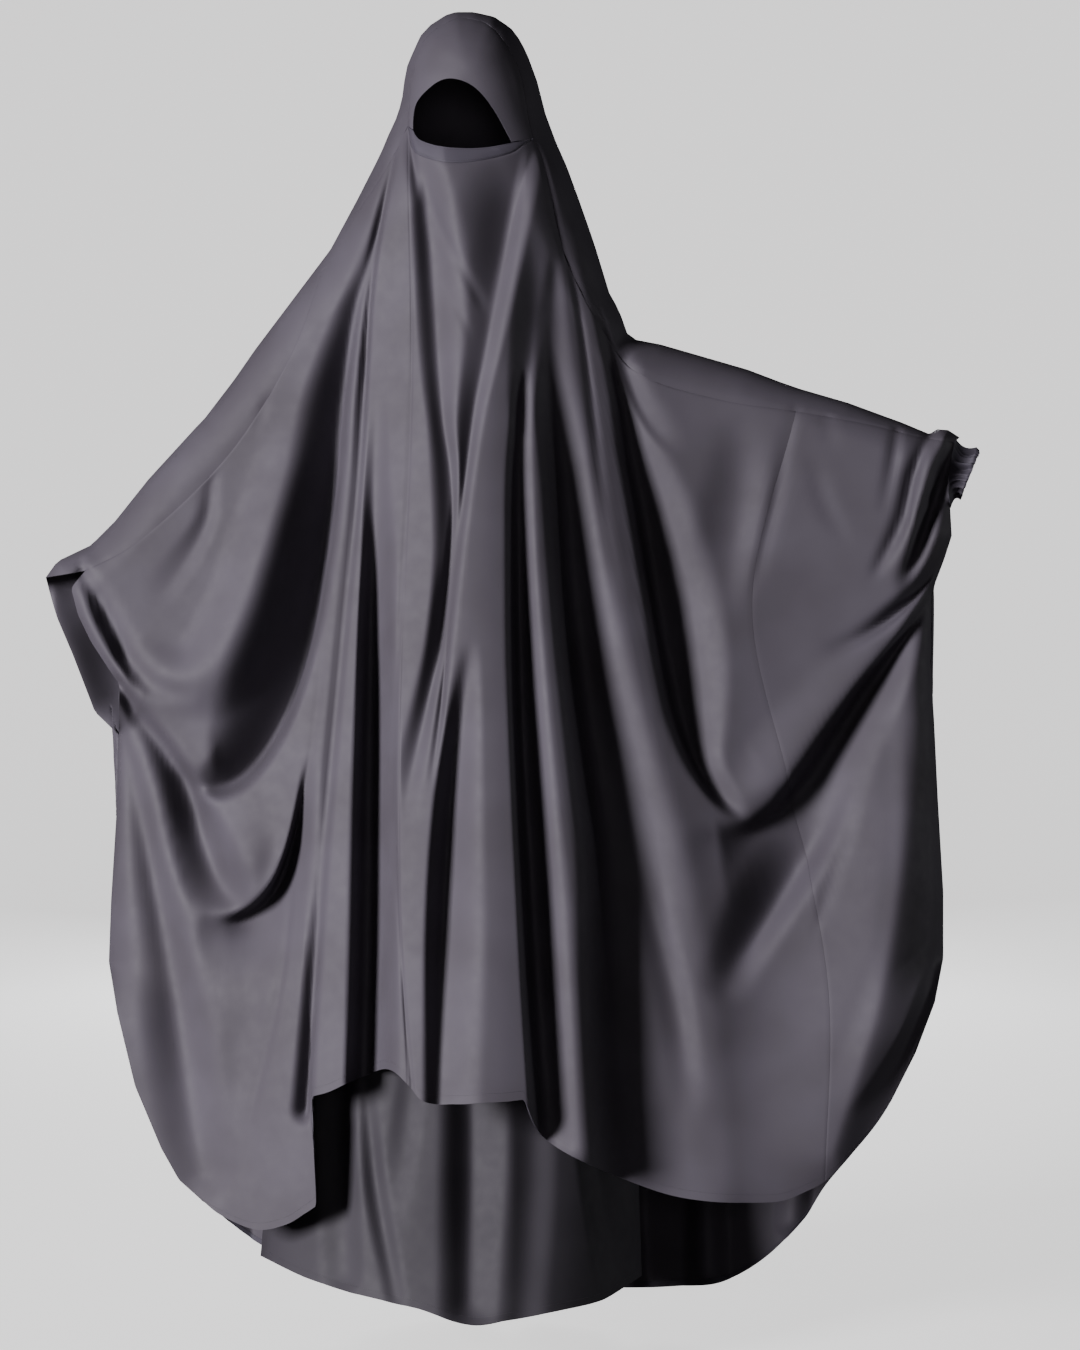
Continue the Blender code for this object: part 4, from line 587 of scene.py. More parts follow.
def front_grid(rows):
    """Across and drop of the front's grid, and the place of each column among the fall lines."""
    lines = []
    for n, (top, top_drop, quarter, half, three_quarters, hem, hem_drop, _) in enumerate(FRONT_FALLS):
        drop = top_drop + (hem_drop - top_drop) * rows
        if n == 0:
            across = side_across(drop, LEFT_SLEEVE_LIP, LEFT_SEAM, LEFT_CURVE)
        elif n == len(FRONT_FALLS) - 1:
            across = side_across(drop, WRIST_EDGE, RIGHT_SEAM, RIGHT_CURVE)
        else:
            across = spline_at([[top], [quarter], [half], [three_quarters], [hem]], 4 * rows)[:, 0]
        lines.append(np.stack([across, drop], axis=-1))
    lines = np.array(lines)
    at = column_places([row[-1] for row in FRONT_FALLS[:-1]], FINER, (TEMPLE_LINE, JOINING_LINE))
    from_seam, from_hem = spline_at(lines, at, SEAM_CORNERS), spline_at(lines, at, HEM_CORNERS)
    grid = from_seam + (from_hem - from_seam) * rows[None, :, None]
    return grid.transpose(1, 0, 2), at


front_cloth, front_at = front_grid(row_places(190, 118.0, growth=1.08))
print("front grid:", front_cloth.shape[:2], "points")

# %% [markdown]
# Sheet, wall and seams
#
# A sheet is one grid of quads whose points are moved into place, then given the cloth's thickness by
# Solidify. Along a seam the cloth is drawn in, because the seam allowance lies folded behind it: that
# is what makes a seam show as a thin dark line.

# %% Sheets from grids
# metres: the single cloth, doubled bands, the gathered cuff, the casing and a turned hem
THICKNESS = 0.0007
BAND_THICKNESS, CUFF_THICKNESS = 0.0014, 0.0008
CASING_THICKNESS, HEM_THICKNESS = 0.0012, 0.0006


def sheet_object(name, points, outwards, material, thickness=THICKNESS, closed=False):
    """A cloth sheet through a grid of points; outwards is the side along Y that it faces."""
    rows, columns = points.shape[:2]
    bpy.ops.mesh.primitive_grid_add(x_subdivisions=columns - 1, y_subdivisions=rows - 1, size=1)
    sheet = bpy.context.object
    sheet.name = sheet.data.name = name
    sheet.data.vertices.foreach_set("co", points.reshape(-1))
    sheet.data.update()
    if outwards < 0:
        sheet.data.flip_normals()
    if closed:
        bpy.ops.object.mode_set(mode="EDIT")
        bpy.ops.mesh.select_all(action="SELECT")
        bpy.ops.mesh.remove_doubles(threshold=1e-7)
        bpy.ops.object.mode_set(mode="OBJECT")
    wall = sheet.modifiers.new("cloth", "SOLIDIFY")
    wall.thickness, wall.offset = thickness, -1.0
    bpy.ops.object.modifier_apply(modifier=wall.name)
    bpy.ops.object.shade_smooth()
    # the sheet's two sides have eight corners a quad; those that follow them are the cut edges'
    corner_edges = np.empty(len(sheet.data.loops), int)
    sheet.data.loops.foreach_get("edge_index", corner_edges)
    sharp = np.zeros(len(sheet.data.edges), bool)
    sharp[corner_edges[8 * (rows - 1) * (columns - 1) :]] = True
    sheet.data.edges.foreach_set("use_edge_sharp", sharp)
    sheet.data.materials.append(material)
    bpy.ops.object.select_all(action="DESELECT")
    return sheet


print("wall of the cloth, mm:", 1000 * THICKNESS)

# %% Seams and evened cloth
# centimetres between two sheets that are sewn together
SEAM_GAP = 0.02


def evened(points):
    """A grid evened over its neighbours once: cloth turns only as tightly as its body lets it."""
    even = points.copy()
    even[:, 1:-1] = (points[:, :-2] + 2 * points[:, 1:-1] + points[:, 2:]) / 4
    even[1:-1] = (even[:-2] + 2 * even[1:-1] + even[2:]) / 4
    return even


def distance_to(cloth, seam):
    """Distance of each point of a grid to the seam in its own column or row."""
    return np.linalg.norm(cloth - seam, axis=-1)


def seam_dip(distance, depth=0.08, width=0.26):
    """How far cloth is drawn in at this distance from its seam."""
    return depth * np.clip(1 - distance / width, 0.0, 1.0) ** 2


print("a seam draws the cloth in by, cm:", seam_dip(np.array([0.0, 0.1, 0.3])).round(3))

# %% [markdown]
# Satin crepe
#
# The cloth is a polyester satin crepe: high-twist yarn gives it a fine pebble about a millimetre
# across, and the satin face a soft broad gloss. A dark violet-grey base under a rough gloss gives the
# deep folds and light flanks. The threads are too fine to show, so there is no weave pattern: the pebble
# is noise in the bump, at its real size.

# %% Satin crepe


def linear(code):
    """Linear colour from an sRGB hex code."""
    parts = [int(code[n : n + 2], 16) / 255 for n in (1, 3, 5)]
    return tuple(c / 12.92 if c <= 0.04045 else ((c + 0.055) / 1.055) ** 2.4 for c in parts) + (1.0,)


def add_node(material, kind, settings=(), links=()):
    """A node with its settings, and links from (node, output) to its named inputs."""
    node = material.node_tree.nodes.new(kind)
    for name, value in dict(settings).items():
        if name in node.inputs and not hasattr(node, name):
            node.inputs[name].default_value = value
        else:
            setattr(node, name, value)
    for name, (source, output) in dict(links).items():
        material.node_tree.links.new(source.outputs[output], node.inputs[name])
    return node


def new_material(name):
    """A material with nodes, its shader and its links."""
    material = bpy.data.materials.new(name)
    material.use_nodes = True
    return material, material.node_tree.nodes["Principled BSDF"], material.node_tree.links


print("tone of the crepe:", [round(c, 4) for c in linear("#39353c")[:3]])

# %% Materials of satin crepe
# sizes in millimetres: the cloudy tone, the slubs of the yarn and the pebble of the crepe
CLOUD, SLUB, PEBBLE = 1000 / 9, 1000 / 60, 1.1
GLOSS_SPREAD = 0.03


def satin_crepe(name, deep, light, roughness):
    """Satin crepe: two close tones over the cloth, fine pebble, gloss a little uneven."""
    material, shader, links = new_material(name)
    place_in_cloth = add_node(material, "ShaderNodeTexCoord")
    wide = add_node(material, "ShaderNodeTexNoise", {"Scale": 1000 / CLOUD, "Detail": 2.0},
                    {"Vector": (place_in_cloth, "Object")})
    tone = add_node(material, "ShaderNodeValToRGB", links={"Fac": (wide, "Fac")})
    tone.color_ramp.elements[0].color, tone.color_ramp.elements[1].color = linear(deep), linear(light)
    tone.color_ramp.elements[0].position, tone.color_ramp.elements[1].position = 0.35, 0.65
    fine = add_node(material, "ShaderNodeTexNoise", {"Scale": 1000 / PEBBLE, "Detail": 1.0},
                    {"Vector": (place_in_cloth, "Object")})
    slub = add_node(material, "ShaderNodeTexNoise", {"Scale": 1000 / SLUB, "Detail": 2.0},
                    {"Vector": (place_in_cloth, "Object")})
    gloss = add_node(material, "ShaderNodeMapRange",
                     {"From Min": 0.3, "From Max": 0.7,
                      "To Min": roughness - GLOSS_SPREAD, "To Max": roughness + GLOSS_SPREAD},
                     {"Value": (slub, "Fac")})
    bump = add_node(material, "ShaderNodeBump", {"Strength": 0.35, "Distance": 0.00012},
                    {"Height": (fine, "Fac")})
    shader.inputs["Specular IOR Level"].default_value = 0.25
    links.new(tone.outputs["Color"], shader.inputs["Base Color"])
    links.new(gloss.outputs["Result"], shader.inputs["Roughness"])
    links.new(bump.outputs["Normal"], shader.inputs["Normal"])
    return material


mantle_crepe = satin_crepe("charcoal violet satin crepe", "#39353c", "#3f3b43", 0.7)
# the skirt is the same crepe as the mantle; its two tones are set darker as painted shade, for the shadow
# that the mantle throws over it
skirt_crepe_painted_shade = satin_crepe("satin crepe of the skirt, darkened as painted shade", "#2a272d", "#2f2c32", 0.72)
doubled_crepe = satin_crepe("doubled satin crepe of bands and hems", "#34313a", "#3a363f", 0.72)
print("crepes made:", len(bpy.data.materials))

# %% [markdown]
# Sewing thread
#
# Overlock and hems are sewn with spun polyester thread, a shade darker than the cloth. Its two twisted
# plies show as fine slanting bands, which a wave texture gives. A bump would cost more and show less.

# %% Sewing thread
# a wave texture has one band in 0.314 / scale metres: 0.35 mm here
PLY_SCALE = 900.0
sewing_thread, thread_shader, thread_links = new_material("spun polyester sewing thread, charcoal")
thread_place = add_node(sewing_thread, "ShaderNodeTexCoord")
thread_ply = add_node(sewing_thread, "ShaderNodeTexWave", {"Scale": PLY_SCALE, "Distortion": 1.5},
                      {"Vector": (thread_place, "Object")})
thread_tone = add_node(sewing_thread, "ShaderNodeValToRGB", links={"Fac": (thread_ply, "Fac")})
thread_tone.color_ramp.elements[0].color = linear("#201d23")
thread_tone.color_ramp.elements[1].color = linear("#2c2930")
thread_links.new(thread_tone.outputs["Color"], thread_shader.inputs["Base Color"])
thread_shader.inputs["Roughness"].default_value = 0.5
print("materials made:", len(bpy.data.materials))

# %% [markdown]
# Front panel and wing
#
# On the real mantle the whole front with the veil is one cut, and only the end of the right sleeve and
# wing is joined to it by a seam. Both sheets come from one grid, which is divided at that seam, so their
# folds run through it. The grid is drawn in along each seam and evened once, as the cloth's body does.

# %% Declaring a piece
made = {}


def add_piece(piece, node, replaces=True):
    """Declares a piece: it rides on the garment, hides its CAD node when it replaces it, and is kept in
    made.
    """
    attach(piece, "root")
    if replaces:
        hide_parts(node)
    made[piece.name] = piece
    return piece


def on_front(cloth, folds=FRONT_FOLDS):
    """Across, drop and depth of a grid that hangs on the front's drape."""
    return draped(cloth[..., 0], cloth[..., 1], FRONT_SECTIONS, folds, -1)


# %% Drape of the front
# depth and width of the dip along the seam at the temple and along the one that joins the wing
TEMPLE_DIP, JOINING_DIP = (0.08, 0.16), (0.03, 0.15)

front_drape = np.stack(on_front(front_cloth), axis=-1)
at_seam = front_drape[0].copy()
front_drape = evened(front_drape)
front_drape[0] = at_seam
front_across, front_drop, front_depth = front_drape.transpose(2, 0, 1).copy()
front_depth += seam_dip(distance_to(front_cloth, front_cloth[:1]))
temple_column, joining_column = (
    int(np.argmin(abs(front_at - line))) for line in (TEMPLE_LINE, JOINING_LINE)
)
for column, dip in ((temple_column, TEMPLE_DIP), (joining_column, JOINING_DIP)):
    front_depth += seam_dip(distance_to(front_cloth, front_cloth[:, column : column + 1]), *dip)
front_depth = np.minimum(front_depth, -SEAM_GAP)
front_sheet = place(front_across, front_drop, front_depth)
print("front reaches forward to, m:", front_sheet[..., 1].min().round(3))

# %% Front panel and wing sheets
panel_sheet = front_sheet[:, : joining_column + 1]
wing_sheet = front_sheet[:, joining_column:].copy()
wing_sheet[:, 0, 0] += SEAM_GAP * CM
front_panel = sheet_object("front_panel_cloth", panel_sheet, -1, mantle_crepe)
front_wing = sheet_object("front_wing_cloth", wing_sheet, -1, mantle_crepe)
add_piece(front_panel, "front_panel")
add_piece(front_wing, "front_wing")
print("front panel:", len(front_panel.data.polygons), "faces; wing:", len(front_wing.data.polygons))

# %% [markdown]
# Back and hood
#
# The back turns over the sleeves and over the head to the seams in front, so the hood is part of it. Its
# grid starts at those front seams, climbs to the outline in a strip of rows on the front's own drape, and
# falls down the back from there. The row that turns over is snapped onto the outline, or the front's and
# back's depth would disagree there and tear the cloth into small creases.

# %% Fall lines of the back
# each line: across and drop where it turns over, across half way down, across and drop of its hem;
# the hood's lines have the across and drop of their seam before them
BACK_FALLS_LEFT = (
    (-54.9, 73.5, 0, -34.7, 154.4), (-45.9, 66.2, -44, -33, 155.5), (-38.4, 57.3, -40, -31.3, 157),
    (-32.5, 50.5, -35.5, -29, 158.8), (-25.5, 41, -30.3, -25.5, 161), (-20, 33.7, -25.7, -21.5, 162.6),
    (-17.3, 29.8, -21.8, -17.3, 163.6), (-14.4, 24.4, -17.3, -13.3, 164.5),
    (-12.8, 21.2, -14.7, -10.7, 165), (-11.2, 18, -12.5, -8.5, 165.4), (-9.4, 13.9, -10.8, -6.5, 165.7),
)
BACK_FALLS_HOOD = (
    (-7.6, 11, -8.55, 11, -9.4, -5, 166), (-7, 6.8, -7.95, 7, -8, -3.5, 166),
    (-6.2, 4.4, -6.9, 4.6, -6.5, -2.3, 166), (-4.2, 2.2, -4.9, 1.7, -5, -1.2, 166.1),
    (-1.7, 0.9, -1.8, 0.05, -3.2, 0, 166.1), (-0.2, 0.8, 0, 0, -1.5, 1.2, 166.1),
    (2, 1.3, 2.4, 0.4, 0.3, 2.4, 166.1), (3.6, 2.4, 4.5, 1.35, 2.3, 3.7, 166.1),
    (5.1, 4.4, 6.6, 3.4, 4.3, 5, 166.1), (6.4, 6.9, 7.9, 6, 6, 6.4, 166), (7.2, 9.7, 9, 9, 7.5, 7.8, 166),
    (7.8, 13.5, 10.1, 13.3, 9, 9.3, 166),
)
BACK_FALLS_RIGHT = (
    (11.4, 16.8, 10.5, 10.8, 166), (12.3, 18.9, 12.5, 12.4, 166), (14, 23.2, 14.6, 14.2, 166),
    (15.9, 28.5, 17, 16.4, 165.9), (17.4, 33.3, 20, 19, 165.8), (19.9, 39.5, 24, 22.4, 165.8),
    (24, 43, 30, 27, 165.6), (33.5, 45.7, 38, 33, 165), (43.2, 49, 46, 38.5, 162),
    (52.6, 52, 53, 43.5, 157), (58.6, 54.3, 58.5, 46.5, 152.5), (63.9, 55.3, 0, 49.7, 148.7),
)
FRONT_TOPS = [row[:2] for row in FRONT_FALLS]
BACK_LINES = np.array(
    [top + row for top, row in zip(FRONT_TOPS, BACK_FALLS_LEFT)] + list(BACK_FALLS_HOOD)
    + [top + row for top, row in zip(FRONT_TOPS[VEIL_END_LINE:], BACK_FALLS_RIGHT)]
)
BACK_CORNERS = (len(BACK_FALLS_LEFT) - 1, len(BACK_LINES) - len(BACK_FALLS_RIGHT))
print("fall lines of the back:", len(BACK_LINES), "corners at", BACK_CORNERS)

# %% Grid of the back and hood
STRIP_ROWS, BACK_ROWS, BACK_LENGTH = 14, 172, 140.0
# rows crowd towards the turning: in the strip up to it, and over the first part of the way down
STRIP_CROWDING, FALL_CROWDING, CROWDED_SHARE = 1.8, 1.6, 0.3
# width of a column where the back turns over, in centimetres
BACK_COLUMN = 1.1


def three_way(values, share):
    """The curve through a start, a middle and an end."""
    start, middle, end = values
    return (
        start * 2 * (share - 0.5) * (share - 1) - middle * 4 * share * (share - 1)
        + end * 2 * share * (share - 0.5)
    )


seam_across, seam_drop, top_across, top_drop, middle_across, hem_across, hem_drop = BACK_LINES.T
back_seam, back_top = np.stack([seam_across, seam_drop], -1), np.stack([top_across, top_drop], -1)
strip_shares = 1 - (1 - np.linspace(0, 1, STRIP_ROWS)) ** STRIP_CROWDING
back_rows = [back_seam + (back_top - back_seam) * share for share in strip_shares]
fall_shares = row_places(BACK_ROWS, BACK_LENGTH)[1:]
crowded = CROWDED_SHARE * (fall_shares / CROWDED_SHARE) ** FALL_CROWDING
fall_shares = np.where(fall_shares < CROWDED_SHARE, crowded, fall_shares)
for share in fall_shares:
    drop = top_drop + (hem_drop - top_drop) * share
    across = three_way((top_across, middle_across, hem_across), share)
    across[0] = side_across(drop[0], LEFT_SLEEVE_BACK, LEFT_SEAM, LEFT_CURVE)
    across[-1] = side_across(drop[-1], WRIST_EDGE, RIGHT_SEAM, RIGHT_CURVE)
    back_rows.append(np.stack([across, drop], axis=-1))
back_counts = np.clip(np.round(np.abs(np.diff(top_across)) / BACK_COLUMN), 1, 8).astype(int)
# beside the right wrist both sides of the seam have the same columns
back_counts[-2:] = [row[-1] * FINER // 2 for row in FRONT_FALLS[-3:-1]]
back_at = column_places(back_counts, 2, ())
back_cloth = spline_at(np.array(back_rows).transpose(1, 0, 2), back_at, BACK_CORNERS).transpose(1, 0, 2)
print("back grid:", back_cloth.shape[:2], "points")

# %% Turning snapped onto the outline
# how far from the turning the cloth still moves with it, in centimetres
TURNING_REACH = 3.0

turning = back_cloth[STRIP_ROWS - 1]
_, _, outside, right_across, right_drop = nearest_on(TOP_EDGE, turning[:, 0], turning[:, 1])
onto_outline = -outside[:, None] * np.stack([right_across, right_drop], -1)
from_turning = np.linalg.norm(back_cloth - turning, axis=-1, keepdims=True)
nearness = np.exp(-((from_turning / TURNING_REACH) ** 2))
nearness[:STRIP_ROWS] = strip_shares[:, None, None]
back_cloth = back_cloth + nearness * onto_outline
print("moved onto the outline, cm, at most:", abs(onto_outline).max().round(2))

# %% Back and hood sheet
strip, fall = back_cloth[:STRIP_ROWS], back_cloth[STRIP_ROWS:]
strip_drape = np.stack(on_front(strip))
strip_drape[2] = np.minimum(strip_drape[2] + seam_dip(distance_to(strip, strip[:1])), 0.0)
strip_drape[2, -1] = 0.0
fall_drape = np.stack(draped(fall[..., 0], fall[..., 1], BACK_SECTIONS, BACK_FOLDS, 1))
fall_drape[2] = np.maximum(fall_drape[2], SEAM_GAP)
back_sheet = place(*np.concatenate([strip_drape, fall_drape], axis=1))
back_and_hood = sheet_object("back_and_hood_cloth", back_sheet, 1, mantle_crepe)
add_piece(back_and_hood, "back_and_hood")
print("back and hood:", back_sheet.shape[:2], "points,", len(back_and_hood.data.polygons), "faces")

# %% [markdown]
# Forehead piece
#
# A doubled band of cloth lies smoothly over the brow, between the hood's seam and the arch of the face
# opening. It is held stretched, so its grid runs straight between those two curves on the hood's drape,
# and is evened several times to take the small folds out.

# %% Curves of the face opening
FACE_ARCH = (
    (-7.1, 15.3), (-7.05, 13.6), (-6.6, 11.7), (-5, 9.9), (-3.3, 8.8), (-1.6, 8.7), (0.3, 9.4), (2, 10.9),
    (3.7, 13.3), (5, 15.7), (5.65, 16.9),
)
FACE_LOWER = (
    (-7.84, 14.93), (-7.15, 15.4), (-6.85, 16), (-6.1, 16.7), (-3.9, 17.4), (-0.7, 17.7), (2.3, 17.6),
    (5.2, 17.1), (5.8, 16.96), (7.1, 16.8), (8.4, 16.57),
)
FOREHEAD_CREASES = (
    (((5, 4.6, 0.7, 0.6, 0), (6.3, 8.4, 0.8, 0.6, -0.22), (7.2, 13, 0.7, 0.6, 0)), 0, 1.8),
    (((-4.6, 3.2, 0.8, 0.8, 0), (-6.2, 5.6, 0.8, 0.8, -0.15), (-7, 8.4, 0.8, 0.8, 0)), 0, 1.8),
)


def evenly(points, count, pieces=16):
    """Evenly spaced points along a smooth curve through the given ones."""
    curve = spline_at(points, np.linspace(0, len(points) - 1, pieces * (len(points) - 1) + 1))
    length = np.append(0.0, np.cumsum(np.linalg.norm(np.diff(curve, axis=0), axis=1)))
    at = np.linspace(0.0, length[-1], count)
    return np.stack([np.interp(at, length, curve[:, n]) for n in range(curve.shape[1])], axis=-1)


forehead_inner = evenly(FACE_ARCH, 9)
print("arch of the face opening, nine even points:", forehead_inner.round(1).tolist())

# %% Forehead piece
FOREHEAD_ROWS, FOREHEAD_EVENINGS = 30, 8
# dips along the hood's seam, before and after the evening
WIDE_DIP, SHARP_DIP = (0.22, 0.4), (0.1, 0.3)

hood_seam = [FRONT_TOPS[TEMPLE_LINE]] + [row[:2] for row in BACK_FALLS_HOOD] + [FRONT_TOPS[VEIL_END_LINE]]
hood_at = np.linspace(0, len(hood_seam) - 1, 8 * (len(hood_seam) - 1) + 1)
forehead_outer = spline_at(hood_seam, hood_at)
forehead_inner = evenly(FACE_ARCH, len(hood_at))
forehead_reach = np.linalg.norm(forehead_outer - forehead_inner, axis=1, keepdims=True)
forehead_outer = forehead_outer + (forehead_inner - forehead_outer) * SEAM_GAP / forehead_reach
forehead_rows = np.append(np.linspace(0, 0.96, FOREHEAD_ROWS), (0.975, 0.988, 1.0))[:, None, None]
forehead_cloth = forehead_inner + (forehead_outer - forehead_inner) * forehead_rows
forehead_grid = np.stack(on_front(forehead_cloth, FRONT_FOLDS + FOREHEAD_CREASES), axis=-1)
from_hood_seam = distance_to(forehead_cloth, forehead_cloth[-1:])
forehead_grid[..., 2] += seam_dip(from_hood_seam, *WIDE_DIP)
for _ in range(FOREHEAD_EVENINGS):
    forehead_grid = evened(forehead_grid)
forehead_grid[..., 2] += seam_dip(from_hood_seam, *SHARP_DIP)
forehead_sheet = place(*forehead_grid.transpose(2, 0, 1))
forehead_piece = sheet_object("forehead_piece_cloth", forehead_sheet, -1, mantle_crepe)
add_piece(forehead_piece, "forehead_piece")
print("forehead piece:", forehead_sheet.shape[:2], "points")

# %% [markdown]
# Stitched band under the face opening
#
# The veil's upper edge is turned over an elastic tape and stitched twice, which makes a firm, slightly
# raised band. It could be an extruded strip along a curve. A narrow grid between the veil's edge and the
# opening follows the cloth's drape exactly, and its ends run into the hood's seam without a gap.

# %% Stitched band under the face opening
# columns, how far the band's middle swells, and the width from which it does so fully
BAND_COLUMNS, BAND_FULLNESS, BAND_WIDTH = 121, 0.05, 1.2

band_at = np.linspace(TEMPLE_LINE, VEIL_END_LINE, BAND_COLUMNS)
band_lower = spline_at(FRONT_TOPS, band_at, SEAM_CORNERS)
band_upper = evenly(FACE_LOWER, len(band_at))
band_reach = np.linalg.norm(band_lower - band_upper, axis=1, keepdims=True)
band_lower = band_lower + (band_upper - band_lower) * SEAM_GAP / band_reach
band_shares = np.concatenate([[0, 0.05, 0.12], np.linspace(0.2, 0.85, 8), [0.93, 1.0]])[:, None, None]
band_cloth = band_upper + (band_lower - band_upper) * band_shares
across, drop, depth = on_front(band_cloth)
fullness = BAND_FULLNESS * np.clip(band_reach[:, 0] / BAND_WIDTH, 0.0, 1.0)
depth = depth - fullness * np.sin(math.pi * band_shares[..., 0])
depth = depth + seam_dip((1 - band_shares[..., 0]) * band_reach[:, 0])
band_sheet = place(across, drop, depth)
face_band = sheet_object("face_band_cloth", band_sheet, -1, doubled_crepe, BAND_THICKNESS)
add_piece(face_band, "face_band")
print("face band:", band_sheet.shape[:2], "points")

# %% [markdown]
# Elastic cuff at the right wrist
#
# Elastic in a casing gathers the sleeve to the wrist and throws up small ruffles. Rings of points lead
# from the sleeve's mouth to the rim, squeezed in the middle. Four waves of uneven count, which grow
# towards the rim, make the ruffles, where a single wave would look like a gear.

# %% Mouth of the right sleeve
CUFF_RIM_TOP, CUFF_RIM_BOTTOM = np.array((66.5, 57.2)), np.array((64.2, 62.9))
CUFF_RIM_HALF_DEPTH = 2.3
CUFF_SIDES = 180


def sleeve_mouth(turns):
    """The right sleeve's edge at each turn round it: 0 at the top, a quarter in front."""
    top, bottom = TOP_EDGE[-1][1], RIGHT_SEAM[0][0]
    drop = (top + bottom) / 2 - (bottom - top) / 2 * np.cos(turns)
    across = side_across(drop, WRIST_EDGE, RIGHT_SEAM, RIGHT_CURVE)
    front = draped(across, drop, FRONT_SECTIONS, FRONT_FOLDS, -1)[2]
    back = draped(across, drop, BACK_SECTIONS, BACK_FOLDS, 1)[2]
    depth = np.where(np.sin(turns) > 0, np.minimum(front, 0), np.maximum(back, 0))
    return np.stack([across, drop, depth], -1)


cuff_turns = np.linspace(0, 2 * math.pi, CUFF_SIDES, endpoint=False)
cuff_mouth = sleeve_mouth(cuff_turns) + (0.05, 0.0, 0.0)
rim_centre = np.append((CUFF_RIM_TOP + CUFF_RIM_BOTTOM) / 2, 0.0)
rim_reach = np.append((CUFF_RIM_TOP - CUFF_RIM_BOTTOM) / 2, 0.0)
cuff_rim = rim_centre + rim_reach * np.cos(cuff_turns)[:, None]
cuff_rim[:, 2] = -CUFF_RIM_HALF_DEPTH * np.sin(cuff_turns)
print("sleeve mouth, highest and lowest drop:", cuff_mouth[:, 1].min().round(1),
      cuff_mouth[:, 1].max().round(1))

# %% Elastic cuff at the right wrist
CUFF_RINGS, CUFF_SQUEEZE = 26, 0.28
# waves round the cuff and their heights
RUFFLE_WAVES = ((13, 0.5), (19, 0.45), (29, 0.25), (7, 0.35))

ruffle_phases = np.random.default_rng(21).uniform(0, 6.28, len(RUFFLE_WAVES))
ruffle = sum(
    height * np.sin(count * cuff_turns + phase)
    for (count, height), phase in zip(RUFFLE_WAVES, ruffle_phases)
)
cuff_points = []
for ring in np.linspace(0, 1, CUFF_RINGS):
    point = cuff_mouth + (cuff_rim - cuff_mouth) * ring
    centre = np.stack([point[:, 0], 0 * point[:, 0] + rim_centre[1], 0 * point[:, 0]], -1)
    waist = CUFF_SQUEEZE * math.sin(math.pi * min(1.0, ring * 1.15)) ** 0.8
    # gathers stand between mouth and rim, and ruffles grow towards the rim
    gathered = 0.15 * ruffle * math.sin(math.pi * ring) ** 0.7 + 0.09 * ruffle * ring**2
    point = centre + (point - centre) * (1 - waist + gathered)[:, None]
    cuff_points.append(place(*point.T))
cuff_points = np.array(cuff_points)
cuff_points = np.concatenate([cuff_points, cuff_points[:, :1]], axis=1)
wrist_cuff = sheet_object("wrist_cuff_cloth", cuff_points, 1, doubled_crepe, CUFF_THICKNESS, closed=True)
add_piece(wrist_cuff, "wrist_cuff")
print("cuff rings and sides:", cuff_points.shape[:2])

# %% [markdown]
# Skirt
#
# The skirt is two plain panels, gathered at the waist and wide at the floor. Cloth that hangs from
# gathers makes few, broad folds at the hem. Each panel is a half of a growing oval with its folds drawn
# in, so that it stays clear of the mantle all round.

# %% Form and folds of the skirt
# each row: drop, across of the left and right side, depth of the front and of the back
SKIRT_SECTIONS = (
    (70, -16.5, 15.5, 11, 11.5), (85, -19.5, 18.5, 12.3, 13.3), (105, -21.5, 20, 13.5, 15.8),
    (125, -23.5, 21, 14.5, 17), (145, -25.5, 22, 17.5, 19), (171, -27.8, 22.8, 24, 22),
)
# share of the way from left to right, and drop
SKIRT_FRONT_HEM = (
    (0, 161.7), (0.12, 164.5), (0.25, 166.6), (0.42, 168.6), (0.55, 170.6), (0.64, 170.2), (0.78, 168.9),
    (0.9, 167.4), (1, 164.3),
)
SKIRT_BACK_HEM = ((0.0, 161.7), (0.25, 159.8), (0.5, 159.2), (0.75, 160.4), (1.0, 164.3))
SKIRT_FRONT_FOLDS = (
    (((-17, 118, 2, 2, 0), (-17, 142, 3.4, 3, 2), (-16.2, 164, 3.4, 3, 1.6)), 0.4, 1.9),
    (((-13.5, 136, 1.2, 1.4, 0), (-12.3, 152, 1.8, 2, 1.6), (-9.5, 167, 1.6, 1.8, 0.6)), 0.3, 1.7),
    (((-1, 116, 2, 2, 0), (0.2, 142, 4.2, 5.5, 2.8), (0, 168, 4.2, 6, 2.4)), 0.2, 1.6),
    (((13, 116, 1.6, 1.8, 0), (16.4, 146, 2.8, 4.2, 2.2), (20, 168, 3, 4.2, 1.8)), -0.3, 1.8),
    (((-6, 118, 1.4, 1.4, 0), (-7.6, 142, 2.6, 2.2, 0.7), (-10, 158, 2.4, 2, 0)), 0, 1.9),
    (((7, 116, 1.8, 1.8, 0), (8.4, 145, 3.4, 3.4, 0.9), (7, 170, 3.6, 3.6, 0.9)), 0, 1.9),
)
SKIRT_BACK_FOLDS = (
    (((-13, 90, 1.6, 1.6, 0.4), (-15, 125, 2.4, 2.4, 2.6), (-17, 161, 2.8, 2.8, 3.4)), 0.4, 2),
    (((-2, 88, 1.6, 1.6, 0.4), (-3, 122, 2.4, 2.6, 2.8), (-4, 161, 2.8, 3, 3.6)), -0.4, 2),
    (((9, 90, 1.6, 1.6, 0.4), (10.5, 126, 2.4, 2.4, 2.6), (12, 163, 2.8, 2.8, 3.2)), 0.4, 2),
)
print("folds of the skirt:", len(SKIRT_FRONT_FOLDS) + len(SKIRT_BACK_FOLDS))

# %% Skirt sheets
SKIRT_COLUMNS, SKIRT_ROWS, SKIRT_LENGTH = 131, 90, 98.0
WAIST_GATHERS, GATHER_DEPTH, GATHER_LENGTH = 19, 0.22, 14.0
SKIRT_UNEVEN, SKIRT_UNEVEN_SIZE = 0.12, 6.0


